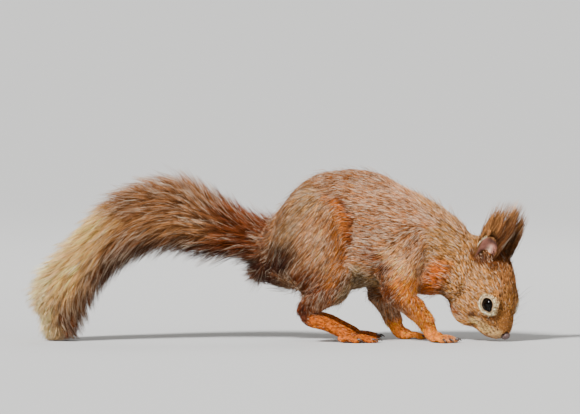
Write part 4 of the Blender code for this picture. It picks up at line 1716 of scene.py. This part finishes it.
# ---- The tail's brush ----
@dataclass
class TailCoat:
    """Long hair round the thin tail, out to the solids' surface."""

    head: HeadFrame
    thin_out: float = 1.0  # share of the hairs that is grown
    # upper edge, lower edge and half width of the brush at each station from rump to tip
    stations: tuple = (
        (4, 81.5, -6, 44, 15), (-17, 86.5, -23, 52, 17.5), (-41, 101, -51, 52.5, 23),
        (-64, 111.2, -69, 57, 26), (-92, 107.5, -91, 53.5, 26), (-116, 93.5, -107, 44, 24.5),
        (-138, 69, -117.5, 34, 22), (-156, 49, -124.5, 23, 19.5), (-163.5, 29, -129, 11, 17),
        (-157, 14, -132.5, 2.5, 13),
    )
    dome: float = 9.5  # length of the rounded end past the last station
    core: float = 0.10  # share of the way out at which hairs are rooted
    dip: float = 1.2  # hairs that come lower are laid along the floor
    lock_size: int = 10
    shades: tuple[float, ...] = (0.3, 0.8, 1.0, 1.15)  # from root to tip; the dark root is painted shade within the brush
    inner_shades: tuple[float, ...] = (0.14, 0.14, 0.12, 0.1)  # of the colour under them
    alike: tuple[float, float] = (0.2, 0.35)

    def ring(self, s: Array) -> tuple[Array, Array, Array]:
        """Finds the brush's cross-section on a smooth curve through its stations.

        Args:
            s: Stations, with parts of one between them; past the ends the brush goes on.

        Returns:
            Middle, half height and half width at each.
        """
        rows = np.array(self.stations, float)
        last = len(rows) - 1
        inside = np.clip(s, 0, last - 1e-6)
        start = inside.astype(int)
        t = (inside - start)[:, None]
        p, q = rows[np.maximum(start - 1, 0)], rows[start]
        r, w = rows[start + 1], rows[np.minimum(start + 2, last)]
        square, cube = 2 * p - 5 * q + 4 * r - w, 3 * q - p - 3 * r + w
        row = 0.5 * (2 * q + (r - p) * t + square * t**2 + cube * t**3)
        zero = np.zeros(len(s))
        top = np.stack([row[:, 0], zero, row[:, 1]], axis=1)
        low = np.stack([row[:, 2], zero, row[:, 3]], axis=1)
        middle, up = (top + low) / 2, (top - low) / 2
        wide = np.stack([zero, row[:, 4], zero], axis=1)
        over = np.clip((s - last) / 0.55, 0, 1.35)
        ahead = unit(np.cross(up, (0, 1, 0)))
        before = np.clip(-s, 0, 1)[:, None]
        turn = np.minimum(over, 1) * math.pi / 2
        middle = middle + ahead * (self.dome * (np.sin(turn) + 1.2 * np.maximum(over - 1, 0)))[:, None]
        middle = middle - ahead * 20 * before
        shrink = np.maximum(np.cos(turn), 0.12)[:, None]
        return middle + self.head.shift, up * shrink, wide * shrink

    def at(self, s: Array, angle: Array, share: Array) -> Array:
        """Places in the brush at a share of the way from its middle to its outside."""
        middle, up, wide = self.ring(s)
        out = up * np.sin(angle)[:, None] + wide * np.cos(angle)[:, None]
        return middle + out * share[:, None]

    def grow(
        self, name: str, first: float, last: float, count: int, nodes: tuple[str, ...], seed: int
    ) -> Obj:
        """Grows the hair that is rooted between two stations.

        Args:
            name: Name of the piece.
            first: First station.
            last: Last station.
            count: Number of hairs.
            nodes: Solids that it stands for.
            seed: Seed of the variation.

        Returns:
            The piece.
        """
        rng = np.random.default_rng(seed)
        count = int(count * self.thin_out)
        root = rng.uniform(first, last, count)
        angle = rng.uniform(-math.pi, math.pi, count)
        outer = 0.45 + 0.58 * rng.random(count) ** 0.5
        run = (0.75 + 0.75 * rng.random(count)) * (0.75 + 0.25 * ramp(root, 1, 4))
        run = np.minimum(run, 9.95 - root - 0.9 * rng.random(count) ** 2)
        outer = outer * (1 - 0.5 * ramp(root + run, 7.4, 9.4) * rng.random(count) ** 2)
        end = self.at(root + run, angle, outer)
        ragged = 0.10 * mottle(end, 3.4) + 0.05 * mottle(end + 40, 1.7)
        outer = outer + np.where(outer > 0.85, ragged + 0.03, 0)
        outer = np.where(rng.random(count) < 0.05, outer * 1.12, outer)
        stations = self.paths(root, run, angle, outer, rng.normal(0, 0.13, count))
        locks = Locks.find(stations[:, 3], self.lock_size, rng)
        outward = unit(stations[:, 2] - self.at(root + run * 0.66, angle, np.zeros(count)))
        often = 0.25 + 0.15 * (np.sin(angle) < -0.3)
        loose = (rng.random(count)[locks.number] < often) * ramp(outer, 0.7, 0.95)
        drawn = locks.drawn(0.72, 5.0)
        for i, strength in ((1, 0.08), (2, 0.4), (3, 1.0)):
            stations[:, i] += drawn * strength + outward * (3.2 * strength * loose)[:, None]
        stations[:, 3] += rng.normal(0, 0.6, (count, 3))
        low = stations[:, :, 2]
        laid = 0.3 + 0.75 * np.exp(np.minimum(low - self.dip, 0) / 4)
        stations[:, :, 2] = np.where(low < self.dip, laid, low)
        colours = self.colours(stations, locks, rng)
        unwrap = np.stack([(root - first) / (last - first), round_angle(angle)], axis=1)
        width = rng.uniform(0.24, 0.46, count)
        tufts = Tufts(stations, outward, width, colours, unwrap, (1.0, 0.8))
        return dress(tufts.write(name), HAIR, nodes)

    def paths(self, root: Array, run: Array, angle: Array, outer: Array, sway: Array) -> Array:
        """Lays the hairs out from the thin tail, along the brush and, near its end, straight on.

        Args:
            root: Station of each root.
            run: Stations that the hair runs on for.
            angle: Angle round the tail.
            outer: Share of the way to the brush's outside that its tip reaches.
            sway: Turn round the tail from root to tip.

        Returns:
            Root, two bends and tip of each hair.
        """
        steps = []
        for t in (0.0, 0.3, 0.66, 1.0):
            share = self.core + (outer - self.core) * (1 - (1 - t) ** 1.55)
            steps.append(self.at(root + run * t, angle + sway * t, share))
        stations = np.stack(steps, axis=1)
        straight = stations[:, 2] + (stations[:, 2] - stations[:, 1]) * 0.9
        keep = 0.6 * ramp(root + run, 5.0, 8.0)[:, None]
        stations[:, 3] += (straight - stations[:, 3]) * keep
        return stations

    def colours(self, stations: Array, locks: Locks, rng: np.random.Generator) -> Array:
        """Colours the hairs by where their outer ends lie, with a little of what is under them.

        Args:
            stations: Root, bends and tip of each hair.
            locks: Locks that they stand in.
            rng: Source of the variation.

        Returns:
            Colour at each station of each hair.
        """
        ends = stations[:, 2] * 0.5 + stations[:, 3] * 0.5
        inner = marked(stations[:, 1], self.head, TAIL_PATCHES, Tint.TAIL_ROOT)["colour"]
        outer = marked(ends, self.head, TAIL_PATCHES, Tint.TAIL_ROOT)
        marks = (outer["colour"], outer["pale"], outer["dark"])
        out = streaked(marks, Tint.CREAM, self.shades, locks, rng, self.alike)
        return out * 0.8 + inner[:, None, :] * np.array(self.inner_shades)[None, :, None]


# ---- Ears ----
@dataclass
class Ear:
    """An ear: a thin cupped leaf, nearly bare inside, with fur and a tall tuft behind."""

    head: HeadFrame
    side: int
    word: str
    root_place: tuple[float, float, float] = (10.4, 11.0, 12.2)
    length: float = 16.5
    sunk: float = 5.0  # length that is hidden in the head
    # half width and depth of the cup at each station from root to tip
    leaf: tuple = ((4.6, 3.4), (6.0, 4.6), (6.8, 5.0), (6.7, 4.4), (5.6, 3.0), (2.4, 1.4))
    thickness: float = 0.9
    tuft_reach: float = 36.6  # of the tuft's tip past the ear's root
    # a hair drawn below the first is on the rim, below the second inside, past the third in the tuft
    kinds: tuple[float, float, float] = (0.12, 0.128, 0.48)
    lock_size: int = 34
    shades: tuple[float, ...] = (0.45, 0.75, 1.05, 1.35)  # from root to tip; the dark root is painted shade within the tuft
    alike: tuple[float, float] = (0.3, 0.65)

    def __post_init__(self) -> None:
        """Sets the ear's own directions."""
        along, height, out = self.root_place
        self.root = self.head.place(along, height, self.side * out)
        nose, crown, left = self.head.axes
        self.tipward = unit(nose * -0.57 + crown * 0.82)
        opening = nose * 0.26 + crown * 0.42 + left * self.side * 0.87
        self.opening = unit(opening - self.tipward * (opening @ self.tipward))
        self.across = np.cross(self.tipward, self.opening)
        if self.across @ nose < 0:
            self.across = -self.across

    def surface(self, u: Array, v: Array) -> Array:
        """Finds places on the cupped leaf.

        Args:
            u: From -1 to 1 across it, towards the nose.
            v: From 0 to 1 from root to tip.

        Returns:
            The places.
        """
        rows = np.array(self.leaf, float)
        spot = np.clip(v, 0, 1) * (len(rows) - 1)
        knots = np.arange(len(rows))
        width, cup = np.interp(spot, knots, rows[:, 0]), np.interp(spot, knots, rows[:, 1])
        along = -self.sunk + (self.length + self.sunk) * v
        place = self.root + np.outer(along, self.tipward) + np.outer(width * u, self.across)
        return place - np.outer(cup * (1 - u * u), self.opening)

    def build(self) -> Obj:
        """Builds the leaf, with the ridge and the canal of its hollow."""
        deselect()
        bpy.ops.mesh.primitive_grid_add(x_subdivisions=22, y_subdivisions=30, size=2)
        leaf = named("ear_skin_" + self.word)
        flat = places_of(leaf) * MM
        u, v = flat[:, 0], (flat[:, 1] + 1) / 2
        ridge = bell(u, 0.1 + 0.5 * v, 0.16) * ramp(v, 0.3, 0.5) * (1 - ramp(v, 0.75, 0.95))
        canal = bell(u, -0.35, 0.3) * bell(v, 0.34, 0.12)
        relief = np.outer(0.9 * ridge - 1.8 * canal, self.opening)
        put_places(leaf, self.surface(u, v) + relief)
        wall = leaf.modifiers.new("Wall", "SOLIDIFY")
        wall.thickness = self.thickness * MM
        wall.offset = 0
        finer = leaf.modifiers.new("Finer", "SUBSURF")
        finer.levels = finer.render_levels = 1
        apply_modifiers(leaf)
        with editing(leaf):
            bpy.ops.mesh.select_all(action="SELECT")
            bpy.ops.mesh.normals_make_consistent(inside=False)
        smoothed(leaf)
        paint(leaf, self.markings(places_of(leaf), normals_of(leaf)))
        return dress(leaf, SKIN, ("ear_" + self.word,))

    def markings(self, places: Array, normals: Array) -> Array:
        """Colours the leaf: pink in the hollow with a painted sheen, painted shade in the canal and
        under the tip, furred behind.

        Args:
            places: Places of its vertices.
            normals: Their normals.

        Returns:
            A colour for each.
        """
        offset = places - self.root
        v = (offset @ self.tipward + self.sunk) / (self.length + self.sunk)
        u = offset @ self.across / 6.5
        hollow = Tint.EAR_HOLLOW.linear * (1 + 0.22 * mottle(places, 1.6))[:, None]
        # painted sheen in the middle of the hollow
        shine = bell(u, 0.1, 0.3) * bell(v, 0.5, 0.2)
        hollow = stained(hollow, Tint.SILVER.linear, 0.5 * shine)
        # painted shade in the canal, and under the tip inside the rim
        deep = bell(u, -0.45, 0.24) * bell(v, 0.34, 0.15)
        under = ramp(v, 0.68, 0.88) * ramp(u, -0.7, 0.1)
        hollow = hollow * (1 - 0.9 * deep - 0.8 * under * (1 - deep))[:, None]
        edge = np.maximum(ramp(np.abs(u), 0.72, 0.95), ramp(v, 0.9, 0.98))
        hollow = stained(hollow, Tint.EAR_BACK.linear * 0.75, edge)
        inside = ramp(normals @ self.opening, 0.0, 0.4)
        return stained(hollow, Tint.EAR_BACK.linear * 0.6, 1 - inside)

    def grow(self, count: int, seed: int) -> Obj:
        """Grows the fur behind the ear, the pale hairs of its rim, those inside and its tuft.

        Args:
            count: Number of hairs.
            seed: Seed of the variation.

        Returns:
            The piece.
        """
        rng = np.random.default_rng(seed)
        kind = rng.random(count)
        rim_to, inner_to, tuft_from = self.kinds
        rim, inner, tufted = kind < rim_to, (kind >= rim_to) & (kind < inner_to), kind > tuft_from
        v = np.where(tufted, rng.uniform(0.3, 1.0, count), rng.uniform(0.16, 1.0, count))
        v = np.where(inner, rng.uniform(0.3, 0.85, count), v)
        u = rng.uniform(-1, 1, count)
        u = np.where(rim, np.sign(u) * rng.uniform(0.93, 1.02, count), u)
        u = np.where(inner, rng.uniform(0.45, 0.98, count), u)
        front = ramp(u, 0.2, 0.7)
        bare, ahead = rim | inner, tufted & (u > 0.35)
        behind = -np.outer(np.ones(count), self.opening)
        root = self.surface(u, v) + behind * np.select([bare, ahead], [-0.1, -0.7], 0.45)[:, None]
        along = (root - self.root) @ self.tipward
        wisp = rng.random(count) < 0.06
        high, low = rng.uniform(1.08, 1.22, count), rng.uniform(0.45, 1.03, count)
        free = self.tuft_reach * np.where(wisp, high, low) - along
        short = rng.uniform(4.5, 9.5, count)
        length = np.where(tufted, free * (1 - 0.22 * u**2), short)
        cream = rim & (v > 0.5) & (v < 0.93) & (u < 0)
        length = np.where(rim, rng.uniform(1.0, 2.2, count) + 4.0 * (1 - front) * ~cream, length)
        length = np.where(inner, rng.uniform(2.5, 5.0, count), length)
        fan = u * np.select([tufted, rim], [0.17, 0.35], 0.22)
        spread = np.outer(fan + rng.normal(0, 0.07, count), self.across)
        spread = np.where(inner[:, None], -0.9 * self.across, spread)
        outer = np.select([bare, tufted], [-0.05, 0.06], 0.2) + rng.normal(0, 0.05, count)
        lie = unit(self.tipward + spread + behind * outer[:, None])
        rise = behind * np.select([bare | ahead, tufted], [-0.4, 0.9], 0.4)[:, None]
        first = root + lie * (length * 0.3)[:, None] + rise
        second = root + lie * (length * 0.68)[:, None] + rise * 0.7
        tip = root + lie * length[:, None]
        locks = Locks.find(tip, self.lock_size, rng)
        pull = locks.drawn(0.85, 4.2) * np.select([bare, wisp], [0.15, 0.3], 1.0)[:, None]
        stations = [root - behind * 0.3, first, second + pull * 0.4, tip + pull]
        back, dark = Tint.EAR_BACK.linear, Tint.EAR_DARK.linear
        colour = stained(back, dark, 0.85 * front)
        # painted light: the far ear is made lighter against the shade that the near ear casts on it
        if self.side > 0:
            colour = colour + 0.3 * (back - colour)
        colour = np.where(cream[:, None], Tint.EAR_RIM.linear, colour)
        marks = (colour, np.where(cream, 0.0, 0.03), np.where(cream, 0.0, 0.16))
        colours = streaked(marks, Tint.CREAM, self.shades, locks, rng, self.alike)
        unwrap = np.stack([(u + 1.05) / 2.1, v * 0.96], axis=1)
        width = rng.uniform(0.20, 0.38, count) * np.where(bare, 0.5, 1.0)
        tufts = Tufts(np.stack(stations, axis=1), -behind, width, colours, unwrap, (1.0, 0.75))
        return dress(tufts.write("coat_ear_" + self.word), HAIR, ("ear_" + self.word,))


# ---- Eyes, nose, whiskers and claws ----
@dataclass
class Eye:
    """A glossy eyeball with a slightly steeper cornea."""

    skin: Skin
    side: int
    word: str
    cornea: float = 0.10  # how far it stands out of the ball

    def build(self) -> Obj:
        """Builds the eyeball."""
        head = self.skin.head
        centre = self.skin.eye_centre(self.side)
        gaze = head.leftward * self.side
        deselect()
        bpy.ops.mesh.primitive_uv_sphere_add(
            segments=48,
            ring_count=32,
            radius=head.eye_radius * MM,
            location=Vector(centre * MM),
            rotation=Vector(gaze).to_track_quat("Z", "Y").to_euler(),
        )
        ball = smoothed(settle(named("eyeball_" + self.word)))
        places = places_of(ball)
        toward = unit(places - centre) @ gaze
        put_places(ball, places + np.outer(self.cornea * ramp(toward, 0.60, 1.0), gaze))
        return dress(ball, EyeFinish(), ("eye_" + self.word,))


@dataclass
class Nose:
    """The bare nose pad with its groove and two comma-shaped nostrils."""

    head: HeadFrame
    place: tuple[float, float] = (60.3, -2.0)
    size: tuple[float, float, float] = (2.3, 3.0, 2.9)

    def build(self) -> Obj:
        """Builds the pad; on the ball it starts from, y points up and z to the left."""
        deselect()
        bpy.ops.mesh.primitive_ico_sphere_add(subdivisions=5, radius=1.0)
        pad = smoothed(settle(named("nose_pad")))
        ball = places_of(pad) * MM
        out = np.abs(ball[:, 2])
        groove = bell(ball[:, 2], 0, 0.13) * ramp(-ball[:, 1], -0.3, 0.5)
        nostril = bell(out, 0.52, 0.20) * bell(ball[:, 1], -0.15, 0.22)
        slit = bell(out, 0.80, 0.16) * bell(ball[:, 1], 0.05, 0.14)
        ball = ball * (1 - 0.16 * groove - 0.34 * nostril - 0.22 * slit)[:, None]
        centre = self.head.place(*self.place, 0)
        put_places(pad, centre + (ball * np.array(self.size)) @ self.head.axes)
        return dress(pad, NOSE, ("nose",))


@dataclass
class Whiskers:
    """Stiff dark whiskers in rows on the muzzle, with a few over the eye and on the cheek."""

    head: HeadFrame
    seed: int = 41
    thickness: float = 0.26
    sag: float = 0.05  # as a share of the length

    def build(self) -> Obj:
        """Builds all whiskers as one piece."""
        rng = np.random.default_rng(self.seed)
        made = []
        for along, height, out in whisker_roots():
            side, back = math.copysign(1, out), (WHISKER_FRONT - along) / WHISKER_STEP
            aim = np.array((-0.30 - 0.05 * back, 0.50 + 0.09 * (height + 4), side))
            aim += rng.normal(0, 0.08, 3)
            length = (15 + 4.2 * back) * rng.uniform(0.85, 1.08)
            made.append(self.ends((along, height, out), aim, length))
        for side, _ in SIDES:
            for k in range(2):
                brow = (41 - 2 * k, 10.5, side * 9.5)
                made.append(self.ends(brow, np.array((-0.3, 0.8, side * 0.6)), 15 + 3 * k))
            cheek = (31, -13, side * 14)
            made.append(self.ends(cheek, np.array((-0.35, -0.3, side * 1.0)), 13))
        root, tip = np.array(made).transpose(1, 0, 2)
        sag = np.array((0, 0, -1)) * (self.sag * np.linalg.norm(tip - root, axis=1))[:, None]
        stations = [root, root * 0.85 + tip * 0.15, (root + tip) / 2 - sag, tip + sag]
        count = len(root)
        colours = np.tile(np.array(WHISKER.colour), (count, len(stations), 1))
        outward = np.tile(np.array((0.1, 0.2, 1.0)), (count, 1))
        unwrap = np.stack([np.linspace(0, 1, count), np.full(count, 0.5)], axis=1)
        width = np.full(count, self.thickness)
        tufts = Tufts(np.stack(stations, axis=1), outward, width, colours, unwrap, (1.0, 0.7))
        return dress(tufts.write("whiskers"), WHISKER, ())

    def ends(self, place: tuple, aim: Array, length: float) -> tuple[Array, Array]:
        """Root and tip of a whisker.

        Args:
            place: Its root along the head, height and out to its left.
            aim: Its direction in the same terms.
            length: Its length.

        Returns:
            Both places in the model's frame.
        """
        root = self.head.place(*place)
        tip = root + unit(aim) @ self.head.axes * length
        tip[2] = max(tip[2], 1.0)
        return root, tip


# ---- Stage ----
@dataclass
class Stage:
    """Pale floor, soft studio lights and the camera."""

    target: tuple[float, float, float] = (7.4, 0.0, 88.4)  # in millimetres; other lengths are in metres
    distance: float = 4.0
    elevation: float = 2.0
    frame_width: float = 0.3828  # width of the view at the target
    sensor: float = 36  # of the camera, in millimetres
    far: float = 3000  # end of the camera's sight
    floor_size: float = 4000
    key_place: tuple[float, float, float] = (-0.56, -0.70, 0.74)
    key_power: float = 7.7
    key_spread: float = 12
    # name, place, size and power of the soft panels
    panels: tuple = (("fill", (1.5, -1.3, 0.9), 1.4, 14), ("rim", (0.3, 1.3, 1.3), 1.0, 8))
    sky: tuple[float, float, float] = (1.0, 0.98, 0.95)
    sky_strength: float = 0.32

    def build(self) -> None:
        """Builds floor, lights, world and camera."""
        deselect()
        bpy.ops.mesh.primitive_plane_add(size=self.floor_size)
        floor = named("floor")
        floor.data.materials.append(FloorFinish().material())
        key = bpy.data.lights.new("key", "SUN")
        key.energy, key.angle = self.key_power, math.radians(self.key_spread)
        self.aimed(key, Vector(self.key_place), Vector())
        for name, place, size, power in self.panels:
            panel = bpy.data.lights.new(name, "AREA")
            panel.size, panel.energy = size, power
            self.aimed(panel, Vector(place), Vector(self.target) * MM * 0.7)
        world = bpy.data.worlds.new("studio")
        bpy.context.scene.world = world
        world.use_nodes = True
        background = world.node_tree.nodes["Background"]
        background.inputs["Color"].default_value = (*self.sky, 1)
        background.inputs["Strength"].default_value = self.sky_strength
        angle = math.radians(self.elevation)
        camera = bpy.data.cameras.new("camera")
        camera.sensor_width = self.sensor
        camera.lens = self.sensor * self.distance / self.frame_width
        camera.clip_end = self.far
        holder = lay("camera", camera)
        back = Vector((0, -math.cos(angle), math.sin(angle))) * self.distance
        holder.location = Vector(self.target) * MM + back
        holder.rotation_euler = (math.pi / 2 - angle, 0, 0)
        bpy.context.scene.camera = holder

    @staticmethod
    def aimed(light: bpy.types.Light, place: Vector, target: Vector) -> None:
        """Puts a light at a place in metres, where it shines towards another."""
        holder = lay(light.name, light)
        holder.location = place
        holder.rotation_euler = (target - place).to_track_quat("-Z", "Y").to_euler()


# ---- The whole animal ----
BODY_SEED, TAIL_SEED, EAR_SEED = 3, 51, 70
EAR_HAIRS = 4300
# name, solids, slot, and the axis along which the piece is unwrapped
COAT_PIECES = (
    ("coat_head", ("head", "muzzle"), "body_fur", 2),
    ("coat_neck", ("neck",), "body_fur", 0),
    ("coat_chest", ("chest",), "body_fur", 0),
    ("coat_belly", ("belly",), "body_fur", 0),
    ("coat_rump", ("rump",), "body_fur", 0),
    ("coat_arm_right", ("upper_arm_right", "forearm_right"), "leg_fur", 2),
    ("coat_arm_left", ("upper_arm_left", "forearm_left"), "leg_fur", 2),
    ("coat_leg_right", ("thigh_right", "shank_right"), "body_fur", 2),
    ("coat_leg_left", ("thigh_left", "shank_left"), "body_fur", 2),
    ("coat_hand_right", ("hand_right",), "leg_fur", 0),
    ("coat_hand_left", ("hand_left",), "leg_fur", 0),
    ("coat_foot_right", ("foot_right",), "leg_fur", 0),
    ("coat_foot_left", ("foot_left",), "leg_fur", 0),
)
# name, first and last station of the roots, number of hairs, and solids
TAIL_PIECES = (
    ("coat_tail_root", -0.7, 1.8, 8000, ("tail_base",)),
    ("coat_tail_fore", 1.8, 4.0, 10000, ("tail_fore",)),
    ("coat_tail_middle", 4.0, 6.2, 10000, ("tail_middle",)),
    ("coat_tail_end", 6.2, 8.6, 11000, ("tail_end", "tail_tip")),
)


def build_paws(head: HeadFrame) -> tuple[list[Obj], Obj]:
    """Builds hands and feet.

    Args:
        head: The head's frame, which also places the working frame.

    Returns:
        Their skins, and all claws as one object.
    """
    ends = (
        Hand(-1, "right", head),
        Hand(1, "left", head, elbow_x=67.5, wrist_x=77.0, turn=8),
        Foot(-1, "right", head),
        Foot(1, "left", head, heel_x=21.0),
    )
    flesh, claws = [], []
    for end in ends:
        made, horn = end.build()
        flesh.append(made)
        claws += horn
    whole = smoothed(join(claws, "claws"))
    places = places_of(whole)
    places[:, 2] = np.maximum(places[:, 2], GROUND)
    put_places(whole, places)
    return flesh, whole


def main() -> None:
    """Builds the animal, its coat and the stage."""
    logging.basicConfig(level=logging.INFO, format="%(message)s")
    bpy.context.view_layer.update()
    share = 1.0
    head = HeadFrame()
    flesh, claws = build_paws(head)
    skin = Skin(head, Solids((*FLESH, *EYES)))
    skin.build(flesh)
    fields = skin.fields()
    dress(skin.obj, SKIN, (*FLESH, *PAWS))
    dress(claws, CLAW, PAWS)
    coat = BodyCoat(skin, fields, share)
    for number, (name, nodes, slot, axis) in enumerate(COAT_PIECES):
        coat.grow(name, nodes, slot, BODY_SEED + number, axis)
    tail = TailCoat(head, share)
    for number, (name, first, last, count, nodes) in enumerate(TAIL_PIECES):
        tail.grow(name, first, last, count, nodes, TAIL_SEED + number)
    for side, word in SIDES:
        Eye(skin, side, word).build()
        ear = Ear(head, side, word)
        ear.build()
        ear.grow(int(EAR_HAIRS * share), EAR_SEED + side)
    Nose(head).build()
    Whiskers(head).build()
    Stage().build()


if __name__ == "__main__":
    main()
